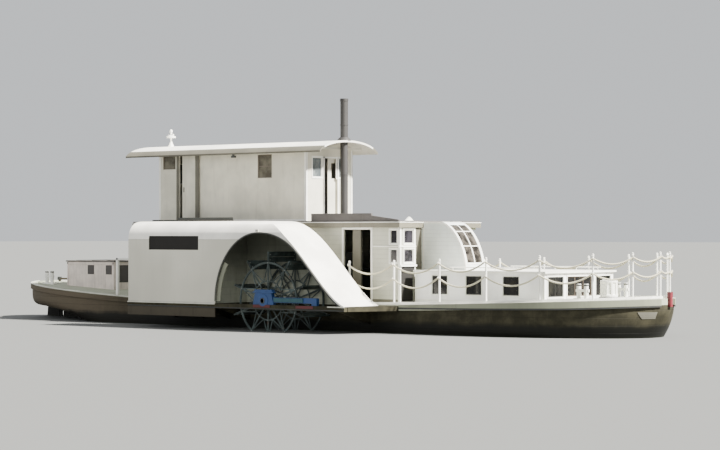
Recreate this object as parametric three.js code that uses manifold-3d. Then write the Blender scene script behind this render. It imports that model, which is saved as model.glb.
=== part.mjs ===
// A small river paddle steamer, lying afloat. Millimetres, +X to the bow, +Y to port, +Z up.
// The origin is on the centreline at the waterline, under the paddle shaft.
import * as THREE from 'three';
import { mergeVertices } from 'three/addons/utils/BufferGeometryUtils.js';
import Module from 'manifold-3d';

const wasm = await Module();
wasm.setup();

// Driving dimensions
const gap = 0.3; // between pieces that touch
const sternX = -15000;
const stemX = 11700;
const midAftX = -8000; // the parallel middle body lies between these two
const midForeX = 6500;
const deckHalf = 2800; // half-breadth over the deck's edge
const hullInset = 50; // the planking lies this far inside the deck's edge
const deckLevel = 830; // deck at side, amidships
const deckThick = 180;
const deckCamber = 40;
const keelLevel = -700; // underside of the planking amidships
const barKeel = { level: -840, half: 60, aft: -9400, fore: 9600 };
const sheerFore = { start: 2500, rise: 310, power: 1.15 };
const sheerAft = { start: -6000, rise: 450, power: 1.15 };
const forefoot = { start: 9000, rise: 1500, power: 4 };
const counter = { start: -9000, rise: 1100, power: 3 };
const section = { power: 5, foreStart: 4000, foreLoss: 3, aftStart: -7000, aftLoss: 0.8, steps: 7 };

const shaftLevel = 950;
const shaftRadius = 75;
const wheel = {
  radius: 1500, outer: 4280, inner: 3000, plate: 40, arms: 10, floatDepth: 320, rim: [1190, 1125],
  hubRing: [620, 565], hub: 190, armHalf: 32, braceHalf: 18,
};

const box = {
  aft: -5900, outer: 4500, inner: 2900, top: 3390, wall: 45, aftCorner: 90, shoulderWide: 500, shoulderTall: 570,
};
const toeX = 3250; // where the paddle box's front meets the deck
const slope = { low: [2200, 1250], high: [1130, box.top], start: -300, edge: 62 };
const arch = { aft: -2040, crownX: -200, top: 3040, spring: 900, joinBelow: 2480 };
const well = { aft: -2100, fore: 2500, outer: 4350, inner: 2950 };
const boxDoor = { aft: -4000, fore: -3350, head: 2650 }; // from the side cabin onto the deck
const slotWindow = { aft: -4960, fore: -2760, low: 2490, high: 2930 };
const guardDepth = 150;
const kneeStations = [-5500, -4300, -3100, -2250, 2700];

const upperDeck = {
  aft: -7900, fore: 3620, half: 2350, notchX: 3060, notchHalf: 1400, portFore: 3160, low: 3200, high: 3400,
};
const toeBoard = { aft: 50, level: 2500, fore: 3560, height: 160, tipHeight: 30, thick: 60 };
const house = {
  aft: -7800, fore: 3560, half: 2250, wall: 60, recess: 3000, recessHalf: 1500, portStep: 900, portFore: 2600,
};
const gangway = { aft: 1330, fore: 2420, head: 3130 };
const bayWindows = { aft: 3170, fore: 3460, outer: 2060, inner: 1570, rows: [[2110, 2540], [2690, 3130]] };
const houseDoors = { foreHalf: 400, foreHead: 2900, aftHalf: 380, aftHead: 2850, side: [-5200, -4500, 2700] };
const boiler = { aft: -4600, fore: -300, half: 650, high: 2400 };
const engine = { aft: 300, fore: 2300, half: 450, high: 1900 };
const bayHatch = { outer: 2180, inner: 1580, head: 1860 };
const cabin = { aft: 3800, fore: 8580, half: 1800, top: 1850, wall: 50, roof: 40, eave: 60 };
const cabinWindows = { stations: [4745, 6020, 7390], half: 290, low: 1180, high: 1740 };
const cabinFront = { low: 1150, high: 1740, panes: [[-1640, -850], [-650, 650], [850, 1640]] };
const hood = { fore: 4730, half: 470, top: 3370, wall: 40, reach: 970, power: 1.18, steps: 10 };
const skylight = { aft: 3900, half: 390, low: 2110, high: 3270 };
const wheelhouse = { aft: -7860, fore: -1200, half: 1150, wall: 60 };
const roof = { aft: -9200, fore: -350, half: 1450, eave: 5600, crown: 5960, thick: 55, sweep: 75, steps: 14 };
const funnel = { x: -570, radius: 125, wall: 12, top: 7370, base: 195 };
const rudder = { x: -14150, stock: 50, blade: 600, low: -760, high: 340, head: 1440 };
const skeg = { fore: -8800, half: 50, tops: [-9200, -9700, -10300, -11000, -11800, -12800] };
const locker = { aft: -12480, fore: -10100, near: -1150, far: 650, top: 2060, lid: 50, wall: 40, floor: 1250 };
const capstanX = 9620;
const post = { radius: 30, height: 1270, inset: 110 };
const rope = { radius: 25, sides: 8, offset: 60, lowerDrop: 430, upperSag: 0.16, lowerSag: 0.17 };
const postStations = [1940, 3690, 5420, 7125, 8825, 10255, 11155, 11640];
const stemPost = { x: 11610, radius: 30, height: 1250 };
const stemHead = { aft: 11648, fore: 11760, half: 65, low: 900, high: 1330 };
const bitts = { foreX: 9400, foreY: 1050, aftX: -13300, aftY: 1250 };

// Materials: colour, roughness, metalness
const paint = (color, roughness = 0.6, metalness = 0) =>
  new THREE.MeshStandardMaterial({ color, roughness, metalness });
const white = paint(0xe4e3da);
const shadeWhite = paint(0xc9cac0);
const hullBrown = paint(0x3f382e, 0.75);
const deckGrey = paint(0x9aa093, 0.8);
const roofWhite = paint(0xf0efe6);
const slabGrey = paint(0x7a7674, 0.8);
const ironDark = paint(0x3a4240, 0.55, 0.6);
const steelGrey = paint(0x6c7167, 0.5, 0.5);
const bearingBlue = paint(0x2c4f86, 0.5);
const stemRed = paint(0xa33240, 0.5);
const ropeCream = paint(0xc8c2aa, 0.9);
const varnished = paint(0x7b5230, 0.5);
const plankBlue = paint(0xbfc6c4);
const weathered = paint(0xb6aea4, 0.85);

// Solids: closed meshes joined and cut
function solidOf(geometry) {
  const bare = geometry.index ? geometry.toNonIndexed() : geometry.clone();
  bare.deleteAttribute('normal');
  bare.deleteAttribute('uv');
  const merged = mergeVertices(bare, 1e-3);
  return new wasm.Manifold(new wasm.Mesh({
    numProp: 3,
    vertProperties: new Float32Array(merged.attributes.position.array),
    triVerts: new Uint32Array(merged.index.array),
  }));
}

function geometryOf(solid) {
  const mesh = solid.getMesh();
  const geometry = new THREE.BufferGeometry();
  geometry.setAttribute('position', new THREE.BufferAttribute(mesh.vertProperties, 3));
  geometry.setIndex(new THREE.BufferAttribute(mesh.triVerts, 1));
  geometry.computeVertexNormals();
  return geometry;
}

function block(x0, x1, y0, y1, z0, z1) {
  const geometry = new THREE.BoxGeometry(x1 - x0, y1 - y0, z1 - z0);
  geometry.translate((x0 + x1) / 2, (y0 + y1) / 2, (z0 + z1) / 2);
  return solidOf(geometry);
}

// An outline of [x, z] or a Shape, carried along Y
function alongY(outline, y0, y1, curveSegments = 10) {
  const shape = outline instanceof THREE.Shape
    ? outline : new THREE.Shape(outline.map(([x, z]) => new THREE.Vector2(x, z)));
  const geometry = new THREE.ExtrudeGeometry(shape, { depth: y1 - y0, bevelEnabled: false, curveSegments });
  geometry.rotateX(Math.PI / 2);
  geometry.translate(0, y1, 0);
  return solidOf(geometry);
}

// An outline of [y, z] carried along X
function alongX(outline, x0, x1) {
  const shape = new THREE.Shape(outline.map(([y, z]) => new THREE.Vector2(y, z)));
  const geometry = new THREE.ExtrudeGeometry(shape, { depth: x1 - x0, bevelEnabled: false });
  geometry.rotateX(Math.PI / 2);
  geometry.rotateZ(Math.PI / 2);
  geometry.translate(x0, 0, 0);
  return solidOf(geometry);
}

// An outline of [x, y] carried up
function upright(outline, z0, z1) {
  const shape = new THREE.Shape(outline.map(([x, y]) => new THREE.Vector2(x, y)));
  const geometry = new THREE.ExtrudeGeometry(shape, { depth: z1 - z0, bevelEnabled: false });
  geometry.translate(0, 0, z0);
  return solidOf(geometry);
}

// A cylinder on an axis through the point (x, y, z)
function rod(axis, radius, length, x, y, z, sides = 24) {
  const geometry = new THREE.CylinderGeometry(radius, radius, length, sides);
  if (axis === 'z') geometry.rotateX(Math.PI / 2);
  if (axis === 'x') geometry.rotateZ(Math.PI / 2);
  geometry.translate(x, y, z);
  return solidOf(geometry);
}

// A turned profile of [radius, z] about an upright axis at (x, y)
function turned(profile, x, y, segments = 20) {
  const geometry = new THREE.LatheGeometry(profile.map(([r, z]) => new THREE.Vector2(r, z)), segments);
  geometry.rotateX(Math.PI / 2);
  geometry.translate(x, y, 0);
  return solidOf(geometry);
}

const join = (first, ...others) => others.reduce((sum, next) => sum.add(next), first);
const cut = (first, ...others) => others.reduce((rest, next) => rest.subtract(next), first);
const mirrored = (solid) => solid.mirror([0, 1, 0]);

// Rings of equal point counts, one after another along the boat, skinned into a closed solid
function skin(rings) {
  const count = rings[0].length;
  const positions = rings.flat(2);
  const index = [];
  for (let ring = 0; ring + 1 < rings.length; ring += 1) {
    for (let k = 0; k < count; k += 1) {
      const a = ring * count + k;
      const b = ring * count + (k + 1) % count;
      index.push(a, b, a + count, b, b + count, a + count);
    }
  }
  const last = (rings.length - 1) * count;
  for (let k = 1; k + 1 < count; k += 1) {
    index.push(0, k + 1, k);
    index.push(last, last + k, last + k + 1);
  }
  const geometry = new THREE.BufferGeometry();
  geometry.setAttribute('position', new THREE.Float32BufferAttribute(positions, 3));
  geometry.setIndex(index);
  return solidOf(geometry);
}

// Half-breadth of the deck's edge: a straight middle body with full rounded ends
function halfBreadth(x) {
  if (x > midForeX) return deckHalf * Math.max(0, 1 - ((x - midForeX) / (stemX - midForeX)) ** 2) ** 0.6;
  if (x < midAftX) return deckHalf * Math.max(0, 1 - ((midAftX - x) / (midAftX - sternX)) ** 2.4) ** 0.55;
  return deckHalf;
}

function sheer(x) {
  const fore = Math.max(0, (x - sheerFore.start) / (stemX - sheerFore.start));
  const aft = Math.max(0, (sheerAft.start - x) / (sheerAft.start - sternX));
  return deckLevel + sheerFore.rise * fore ** sheerFore.power + sheerAft.rise * aft ** sheerAft.power;
}

// Underside of the planking: level amidships, a raked forefoot, a long rising run to the counter
function bottom(x) {
  const fore = Math.max(0, (x - forefoot.start) / (stemX - forefoot.start));
  const aft = Math.max(0, (counter.start - x) / (counter.start - sternX));
  return keelLevel + forefoot.rise * fore ** forefoot.power + counter.rise * (1 - (1 - aft) ** counter.power);
}

// Fullness of a section: boxy amidships, slack at the bow, still full under the counter
function fullness(x) {
  const fore = Math.max(0, (x - section.foreStart) / (stemX - section.foreStart));
  const aft = Math.max(0, (section.aftStart - x) / (section.aftStart - sternX));
  return section.power - section.foreLoss * fore - section.aftLoss * aft;
}

const stations = [
  sternX + 30, sternX + 150, sternX + 400, -14100, -13300, -12300, -11200, -10300, -9600, -9000, midAftX,
  -6500, 0, 2500, 4500, midForeX, 7800, 8900, 9900, 10600, 11150, stemX - 220, stemX - 25,
];
const finest = { hull: 40, deck: 60, depth: 60 }; // the ends' half-breadths and least depth

function hullRing(x) {
  const half = Math.max(halfBreadth(x) - hullInset, finest.hull);
  const top = sheer(x) - deckThick - gap;
  const low = Math.min(bottom(x), top - finest.depth);
  const side = [];
  for (let k = 1; k <= section.steps; k += 1) {
    const angle = (k / section.steps) * Math.PI / 2;
    const power = 2 / fullness(x);
    side.push([half * Math.sin(angle) ** power, top - (top - low) * Math.cos(angle) ** power]);
  }
  const starboard = side.map(([y, z]) => [x, -y, z]).reverse();
  const port = side.map(([y, z]) => [x, y, z]);
  return [...starboard, [x, 0, low], ...port];
}

function deckRing(x, lift = 0, floor = null) {
  const half = Math.max(halfBreadth(x), finest.deck);
  const top = sheer(x) + lift;
  const low = floor === null ? sheer(x) - deckThick : floor;
  const crown = deckCamber * Math.min(1, halfBreadth(x) / 1500);
  return [
    [x, -half, top], [x, -half, low], [x, half, low], [x, half, top],
    [x, half / 2, top + crown * 0.75], [x, 0, top + crown], [x, -half / 2, top + crown * 0.75],
  ];
}

const underDeck = skin(stations.map((x) => deckRing(x, gap, -2000)));
const seatOnDeck = (solid) => solid.subtract(underDeck);

const parts = new THREE.Group();
parts.name = 'paddle_steamer';

function add(name, material, solid) {
  const mesh = new THREE.Mesh(geometryOf(solid), material);
  mesh.name = name;
  parts.add(mesh);
}

// Adds a starboard piece and its mirror image to port, where the deck's facets differ a little
function addPair(name, material, solid) {
  add(`starboard_${name}`, material, solid);
  add(`port_${name}`, material, seatOnDeck(mirrored(solid)));
}

const rudderTrunk = rod('z', rudder.stock + 8, 3000, rudder.x, 0, 1600);

// Hull: planked shell with a bar keel, a skeg, a sternpost and the heel that carries the rudder
function makeHull() {
  const shell = skin(stations.map(hullRing));
  const bar = block(barKeel.aft, barKeel.fore, -barKeel.half, barKeel.half, barKeel.level, keelLevel + 40);
  const heelTop = rudder.low - 15;
  const sternpost = rudder.x + 260;
  const fin = alongY([
    [skeg.fore, keelLevel + 60], [skeg.fore - 100, barKeel.level], [rudder.x - 330, barKeel.level],
    [rudder.x - 330, heelTop], [sternpost, heelTop], [sternpost, bottom(sternpost) + 60],
    ...[...skeg.tops].reverse().map((x) => [x, bottom(x) + 60]),
  ], -skeg.half, skeg.half);
  return cut(join(shell, bar, fin), rudderTrunk);
}
add('hull', hullBrown, makeHull());

add('main_deck', deckGrey, cut(skin(stations.map((x) => deckRing(x))), rudderTrunk));
add('stem_head', stemRed, seatOnDeck(block(stemHead.aft, stemHead.fore, -stemHead.half, stemHead.half,
  stemHead.low, stemHead.high)));

// Guards: the sponsons that carry the paddle boxes, with a well for the wheel and knees below. A beam along
// their outer edge bridges the well and carries the shaft's outer bearing.
const guardLow = deckLevel - guardDepth;

function makeGuard() {
  const top = deckLevel - gap;
  const edge = -well.outer + gap;
  const plate = upright([
    [box.aft - 20, -deckHalf - gap], [box.aft - 20, edge], [toeX + 20, edge],
    [toeX + 700, -deckHalf - gap],
  ], guardLow, top);
  const hole = block(well.aft, well.fore, -well.outer, -well.inner, guardLow - 10, top + 10);
  const kneeTop = guardLow + 5;
  const knees = kneeStations.map((x) => alongX([
    [-deckHalf + hullInset - gap, kneeTop], [-well.outer + 100, kneeTop], [-deckHalf + hullInset - gap, 260],
  ], x, x + 90));
  const deckEdge = block(box.aft - 100, toeX + 800, -deckHalf - gap, 0, deckLevel - deckThick - gap, deckLevel + 10);
  return cut(join(cut(plate, hole), ...knees), deckEdge);
}
const guard = makeGuard();
add('starboard_guard', hullBrown, guard);
add('port_guard', hullBrown, mirrored(guard));
addPair('guard_beam', hullBrown, block(box.aft - 20, toeX, -box.outer, -well.outer, guardLow, deckLevel - gap));

// Paddle box and the side cabin abaft it. In side view the top runs level from a sharp aft end and falls
// forward in an S to the toe; across, the outer shoulder is a quarter of an ellipse.
const frontCurve = new THREE.CubicBezierCurve(
  new THREE.Vector2(toeX, deckLevel), new THREE.Vector2(...slope.low),
  new THREE.Vector2(...slope.high), new THREE.Vector2(slope.start, box.top),
);

// The S from the toe up, moved in square to itself
function frontSlope(inset, steps = 16) {
  return frontCurve.getPoints(steps).map((point, k) => {
    const way = frontCurve.getTangent(k / steps);
    return [point.x - way.y * inset, point.y + way.x * inset];
  });
}

function boxOutline(inset, low) {
  const slopePoints = frontSlope(inset);
  const corner = box.aftCorner - inset;
  const shape = new THREE.Shape();
  shape.moveTo(box.aft + inset, low);
  shape.lineTo(slopePoints[0][0], low);
  slopePoints.forEach(([x, z]) => shape.lineTo(x, z));
  shape.lineTo(box.aft + box.aftCorner, box.top - inset);
  shape.absarc(box.aft + box.aftCorner, box.top - box.aftCorner, corner, Math.PI / 2, Math.PI, false);
  return shape;
}

function shoulderOutline(inset) {
  const steps = 8;
  const points = [[-box.inner - inset, 0], [-box.inner - inset, box.top - inset]];
  for (let k = 0; k <= steps; k += 1) {
    const angle = Math.PI / 2 + (k / steps) * Math.PI / 2;
    points.push([
      -box.outer + box.shoulderWide + (box.shoulderWide - inset) * Math.cos(angle),
      box.top - box.shoulderTall + (box.shoulderTall - inset) * Math.sin(angle),
    ]);
  }
  points.push([-box.outer + inset, 0]);
  return points.reverse();
}

// The open side: half an ellipse behind, and in front the S of the box less a narrow edge
function archOutline(low) {
  const steps = 10;
  const shape = new THREE.Shape();
  shape.moveTo(arch.aft, low);
  for (let k = 0; k <= steps; k += 1) {
    const angle = Math.PI - (k / steps) * Math.PI / 2;
    shape.lineTo(arch.crownX + (arch.crownX - arch.aft) * Math.cos(angle),
      arch.spring + (arch.top - arch.spring) * Math.sin(angle));
  }
  const front = frontSlope(slope.edge).filter(([, z]) => z < arch.joinBelow).reverse();
  const [joinX, joinZ] = front[0];
  shape.bezierCurveTo(300, arch.top, joinX - 500, joinZ + 480, joinX, joinZ);
  front.slice(1).forEach(([x, z]) => shape.lineTo(x, z));
  shape.lineTo(front[front.length - 1][0], low);
  return shape;
}

function makePaddleBox() {
  const body = alongY(boxOutline(0, deckLevel), -box.outer, -box.inner)
    .intersect(alongX(shoulderOutline(0), box.aft - 100, toeX + 100));
  const cavity = alongY(boxOutline(box.wall, 300), -box.outer + 1, -box.inner - 1)
    .intersect(alongX(shoulderOutline(box.wall), box.aft + box.wall, toeX));
  const bulkhead = block(well.aft - 60, well.aft, -box.outer + 20, -box.inner, deckLevel, box.top - 20)
    .intersect(body);
  const openSide = alongY(archOutline(300), -box.outer - 20, -box.outer + 160, 10);
  const shaftHole = rod('y', shaftRadius + 35, 400, 0, -box.inner, shaftLevel);
  const slot = block(slotWindow.aft, slotWindow.fore, -box.outer - 50, -box.outer + 80,
    slotWindow.low, slotWindow.high);
  const cabinDoor = block(boxDoor.aft, boxDoor.fore, -box.inner - 100, -box.inner + 50, 300, boxDoor.head);
  const shell = join(cut(body, cavity), bulkhead);
  const below = block(box.aft - 500, toeX + 500, -box.outer - 100, 0, 0, deckLevel + gap);
  return cut(shell, openSide, shaftHole, slot, cabinDoor, below);
}
addPair('paddle_box', white, makePaddleBox());

// Outer bearing of the paddle shaft, with its strut forward, on the guard's outer beam
function makeBearing() {
  const inner = -well.outer - 10;
  const pedestal = alongY([
    [-430, deckLevel + gap], [430, deckLevel + gap], [330, 1200], [-330, 1200],
  ], -box.outer, inner);
  const strut = block(400, 2150, -box.outer + 20, inner, 900, 1060);
  const foot = block(1950, 2150, -box.outer + 20, inner, deckLevel + gap, 950);
  return cut(join(pedestal, strut, foot), rod('y', shaftRadius + 4, 500, 0, -4400, shaftLevel));
}
addPair('shaft_bearing', bearingBlue, makeBearing());

// Paddle wheel: two spoked frames with braces in Vs, joined by the floats
function ringPlate([outerRadius, innerRadius], y) {
  const ring = rod('y', outerRadius, wheel.plate, 0, y, 0, 30);
  return cut(ring, rod('y', innerRadius, wheel.plate + 20, 0, y, 0, 30));
}

// A flat bar in the wheel's plane between two points given as [radius, degrees from straight up]
function brace(from, to, y) {
  const [start, end] = [from, to].map(([radius, degrees]) => {
    const angle = (degrees * Math.PI) / 180;
    return new THREE.Vector2(radius * Math.sin(angle), radius * Math.cos(angle));
  });
  const side = end.clone().sub(start).normalize().rotateAround(new THREE.Vector2(), Math.PI / 2)
    .multiplyScalar(wheel.braceHalf);
  const corners = [start.clone().sub(side), end.clone().sub(side), end.clone().add(side), start.clone().add(side)];
  return alongY(corners.map((p) => [p.x, p.y]), y - wheel.plate / 2 + 4, y + wheel.plate / 2 - 4);
}

function makeWheel() {
  const pitch = 360 / wheel.arms;
  const solids = [];
  for (const [y, hubShift] of [[-wheel.outer + wheel.plate / 2, -25], [-wheel.inner - wheel.plate / 2, 25]]) {
    solids.push(ringPlate(wheel.rim, y), ringPlate(wheel.hubRing, y), rod('y', wheel.hub, 90, 0, y - hubShift, 0));
    for (let k = 0; k < wheel.arms; k += 1) {
      const arm = block(-wheel.armHalf, wheel.armHalf, y - wheel.plate / 2, y + wheel.plate / 2, 120,
        wheel.radius - 60);
      solids.push(arm.rotate([0, k * pitch, 0]));
      for (const lean of [0, 1]) solids.push(brace([600, (k + 0.5) * pitch], [1150, (k + lean) * pitch], y));
    }
  }
  for (let k = 0; k < wheel.arms; k += 1) {
    const paddle = block(-20, 20, -wheel.outer, -wheel.inner, wheel.radius - wheel.floatDepth, wheel.radius);
    solids.push(paddle.rotate([0, k * pitch, 0]));
  }
  return cut(join(...solids), rod('y', shaftRadius + gap, 3000, 0, -3700, 0)).translate([0, 0, shaftLevel]);
}
addPair('paddle_wheel', ironDark, makeWheel());
add('paddle_shaft', steelGrey, rod('y', shaftRadius, 2 * (box.outer + 50), 0, 0, shaftLevel));

// Deckhouse on the main deck: plank walls in one ring. A corner bay stands forward to starboard, the middle is
// set back behind the hood, and to port the front is set back further.
function makeDeckhouse() {
  const plan = (inset) => {
    const half = house.half - inset;
    const bay = house.recessHalf + inset;
    return [
      [house.aft + inset, -half], [house.fore - inset, -half], [house.fore - inset, -bay],
      [house.recess - inset, -bay], [house.recess - inset, house.portStep - inset],
      [house.portFore - inset, house.portStep - inset], [house.portFore - inset, half], [house.aft + inset, half],
    ];
  };
  const walls = cut(upright(plan(0), 500, upperDeck.low - gap), upright(plan(house.wall), 0, 4000));
  const openings = [
    rod('y', shaftRadius + 35, 6000, 0, 0, shaftLevel),
    block(house.recess - 200, house.recess + 50, -houseDoors.foreHalf, houseDoors.foreHalf, 0, houseDoors.foreHead),
    block(house.aft - 50, house.aft + 100, -houseDoors.aftHalf, houseDoors.aftHalf, 0, houseDoors.aftHead),
  ];
  const [doorAft, doorFore, doorHead] = houseDoors.side;
  for (const side of [-1, 1]) {
    const wall = [side * house.half - 150, side * house.half + 150];
    openings.push(
      block(gangway.aft, gangway.fore, ...wall, 0, gangway.head), block(doorAft, doorFore, ...wall, 0, doorHead),
    );
  }
  const baySide = [-house.half - 100, -house.half + 100];
  const bayFront = [house.fore - 100, house.fore + 50];
  openings.push(block(...bayFront, -bayHatch.outer, -bayHatch.inner, 0, bayHatch.head));
  for (const [low, high] of bayWindows.rows) {
    openings.push(block(bayWindows.aft, bayWindows.fore, ...baySide, low, high));
    openings.push(block(...bayFront, -bayWindows.outer, -bayWindows.inner, low, high));
  }
  return seatOnDeck(cut(walls, ...openings));
}
add('deckhouse_walls', shadeWhite, makeDeckhouse());
add('boiler', ironDark, seatOnDeck(block(boiler.aft, boiler.fore, -boiler.half, boiler.half, 500, boiler.high)));
add('engine', ironDark, seatOnDeck(block(engine.aft, engine.fore, -engine.half, engine.half, 500, engine.high)));

// Upper deck, forward over the starboard bay only, with a toe board on its starboard edge
function makeUpperDeck() {
  const { aft, fore, half, notchX, notchHalf, portFore, low, high } = upperDeck;
  const slab = upright([
    [aft, -half], [fore, -half], [fore, -notchHalf], [notchX, -notchHalf], [notchX, house.portStep],
    [portFore, house.portStep], [portFore, half], [aft, half],
  ], low, high);
  const board = alongY([
    [toeBoard.aft, high - 10], [toeBoard.fore, high - 10], [toeBoard.fore, high + toeBoard.tipHeight],
    [toeBoard.level, high + toeBoard.height], [toeBoard.aft, high + toeBoard.height],
  ], -half + 20, -half + 20 + toeBoard.thick);
  return join(slab, board);
}
add('upper_deck', slabGrey, makeUpperDeck());

// Fore cabin: a low trunk with three windows a side and three in front, its roof, and the companion hood
function makeForeCabin() {
  const outside = block(cabin.aft, cabin.fore, -cabin.half, cabin.half, 500, cabin.top);
  const inside = block(cabin.aft + cabin.wall, cabin.fore - cabin.wall, -cabin.half + cabin.wall,
    cabin.half - cabin.wall, 0, cabin.top + 100);
  const { half, low, high } = cabinWindows;
  const sideHoles = cabinWindows.stations.map((x) => block(x - half, x + half, -2500, 2500, low, high));
  const frontHoles = cabinFront.panes.map(([y0, y1]) => block(cabin.fore - 100, cabin.fore + 50, y0, y1,
    cabinFront.low, cabinFront.high));
  return seatOnDeck(cut(outside, inside, ...sideHoles, ...frontHoles));
}
add('fore_cabin_walls', white, makeForeCabin());

const cabinRoofTop = cabin.top + gap + cabin.roof;
const cabinRoofAft = cabin.aft - 30;
function makeForeCabinRoof() {
  const slab = block(cabinRoofAft, cabin.fore + cabin.eave, -cabin.half - cabin.eave, cabin.half + cabin.eave,
    cabin.top + gap, cabinRoofTop);
  return cut(slab, block(cabin.aft + 80, hood.fore - 100, -hood.half + 80, hood.half - 80, 1700, 2000));
}
add('fore_cabin_roof', roofWhite, makeForeCabinRoof());

function makeHood() {
  const brow = cabinRoofTop + 60;
  const outline = (inset) => {
    const back = house.recess + gap;
    const points = inset ? [[back - inset * 2, 0], [hood.fore - inset, 0]] : [
      [back, 500], [cabinRoofAft - gap, 500], [cabinRoofAft - gap, cabinRoofTop + gap],
      [hood.fore, cabinRoofTop + gap],
    ];
    for (let k = 0; k <= hood.steps; k += 1) {
      const angle = (k / hood.steps) * Math.PI / 2;
      points.push([
        hood.fore - hood.reach + (hood.reach - inset) * Math.cos(angle) ** hood.power,
        brow + (hood.top - brow - inset) * Math.sin(angle) ** hood.power,
      ]);
    }
    points.push([back - inset * 2, hood.top - inset]);
    return points;
  };
  const outer = alongY(outline(0), -hood.half, hood.half);
  const cavity = alongY(outline(hood.wall), -hood.half + hood.wall, hood.half - hood.wall);
  const glazing = block(skylight.aft, hood.fore + 100, -skylight.half, skylight.half, skylight.low, skylight.high);
  const underUpperDeck = block(0, upperDeck.notchX + gap, -2000, 2000, upperDeck.low - gap, 4000);
  return seatOnDeck(cut(outer, cavity, glazing, underUpperDeck));
}
add('companion_hood', plankBlue, makeHood());

// Wheelhouse on the upper deck under a cambered roof
const sideDoorway = { aft: -6920, fore: -6280, head: 5620 };
const frontDoorway = { low: -250, high: 400, head: 5450 };
const frontWindows = { centres: [-600, 600], half: 240, low: 4820, high: 5480 };
const sideWindows = [
  { aft: -3300, fore: -2670, low: 4820, high: 5590 },
  { aft: -7670, fore: -7070, low: 5180, high: 5640 },
];
const backWindow = { half: 400, low: 4700, high: 5400 };
const doorRails = { aft: -6960, fore: -5650, depth: 45, levels: [[5655, 5695], [upperDeck.high + gap, 3430]] };
const deepRoof = 7000; // well above everything, to cut the walls' tops with

// The roof's arc is flat on top and steep at the eaves: part of an ellipse swept by its angle
function roofArc(lift) {
  const sweep = (roof.sweep * Math.PI) / 180;
  const points = [];
  for (let k = 0; k <= roof.steps; k += 1) {
    const angle = -sweep + (2 * sweep * k) / roof.steps;
    const drop = (roof.crown - roof.eave) * (1 - Math.cos(angle)) / (1 - Math.cos(sweep));
    points.push([roof.half * Math.sin(angle) / Math.sin(sweep), roof.crown - drop + lift]);
  }
  return points;
}

function makeWheelhouse() {
  const floor = upperDeck.high + gap;
  const { aft, fore, half, wall } = wheelhouse;
  const shell = cut(block(aft, fore, -half, half, floor, 6200),
    block(aft + wall, fore - wall, -half + wall, half - wall, floor - 10, 6300));
  const aboveRoof = alongX([...roofArc(-gap).reverse(), [-roof.half, deepRoof], [roof.half, deepRoof]],
    aft - 100, fore + 100);
  const frontWall = [fore - 100, fore + 50];
  const openings = [
    ...sideWindows.map((at) => block(at.aft, at.fore, -half - 100, half + 100, at.low, at.high)),
    block(sideDoorway.aft, sideDoorway.fore, -half - 100, half + 100, floor - 10, sideDoorway.head),
    block(...frontWall, frontDoorway.low, frontDoorway.high, floor - 10, frontDoorway.head),
    block(aft - 50, aft + 100, -backWindow.half, backWindow.half, backWindow.low, backWindow.high),
    ...frontWindows.centres.map((y) => block(...frontWall, y - frontWindows.half, y + frontWindows.half,
      frontWindows.low, frontWindows.high)),
  ];
  const rails = [-1, 1].flatMap((side) => {
    const y = [side * half, side * (half + doorRails.depth)].sort((a, b) => a - b);
    return doorRails.levels.map(([low, high]) => block(doorRails.aft, doorRails.fore, ...y, low, high));
  });
  return join(cut(shell, aboveRoof, ...openings), ...rails);
}
add('wheelhouse_walls', shadeWhite, makeWheelhouse());

function makeRoof() {
  return cut(alongX([...roofArc(0), ...roofArc(roof.thick).reverse()], roof.aft, roof.fore),
    rod('z', funnel.radius + 12, 600, funnel.x, 0, 6000));
}
add('wheelhouse_roof', roofWhite, makeRoof());

const ridge = roof.crown + roof.thick + gap;
add('roof_vent', white, turned([
  [0, ridge], [115, ridge], [60, ridge + 110], [32, ridge + 200], [32, ridge + 300], [165, ridge + 310],
  [165, ridge + 360], [40, ridge + 400], [30, ridge + 500], [0, ridge + 520],
], -8450, 0));
add('funnel', steelGrey, turned([
  [funnel.radius - funnel.wall, upperDeck.high + gap], [funnel.base, upperDeck.high + gap],
  [funnel.base, upperDeck.high + 25], [funnel.radius, upperDeck.high + 60],
  [funnel.radius, funnel.top - 60], [funnel.radius + 10, funnel.top - 55], [funnel.radius + 10, funnel.top],
  [funnel.radius - funnel.wall, funnel.top], [funnel.radius - funnel.wall, upperDeck.high + gap],
], funnel.x, 0, 24));

// Sliding doors of the wheelhouse, standing a little ajar
const leaf = { near: 6, far: 40, low: 3440, ajar: 200 };
addPair('wheelhouse_door', shadeWhite, block(sideDoorway.aft + leaf.ajar, sideDoorway.fore + leaf.ajar - 20,
  -wheelhouse.half - leaf.far, -wheelhouse.half - leaf.near, leaf.low, sideDoorway.head + 20));
const frontLeaf = { low: 0, high: 670, head: 5480, pane: [170, 500, 4800, 5300] };
function makeFrontDoor() {
  const back = wheelhouse.fore - wheelhouse.wall;
  const board = block(back - leaf.far - 2, back - leaf.near - 2, frontLeaf.low, frontLeaf.high, leaf.low,
    frontLeaf.head);
  return cut(board, block(back - 60, back + 10, ...frontLeaf.pane));
}
add('wheelhouse_front_door', shadeWhite, makeFrontDoor());

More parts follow.
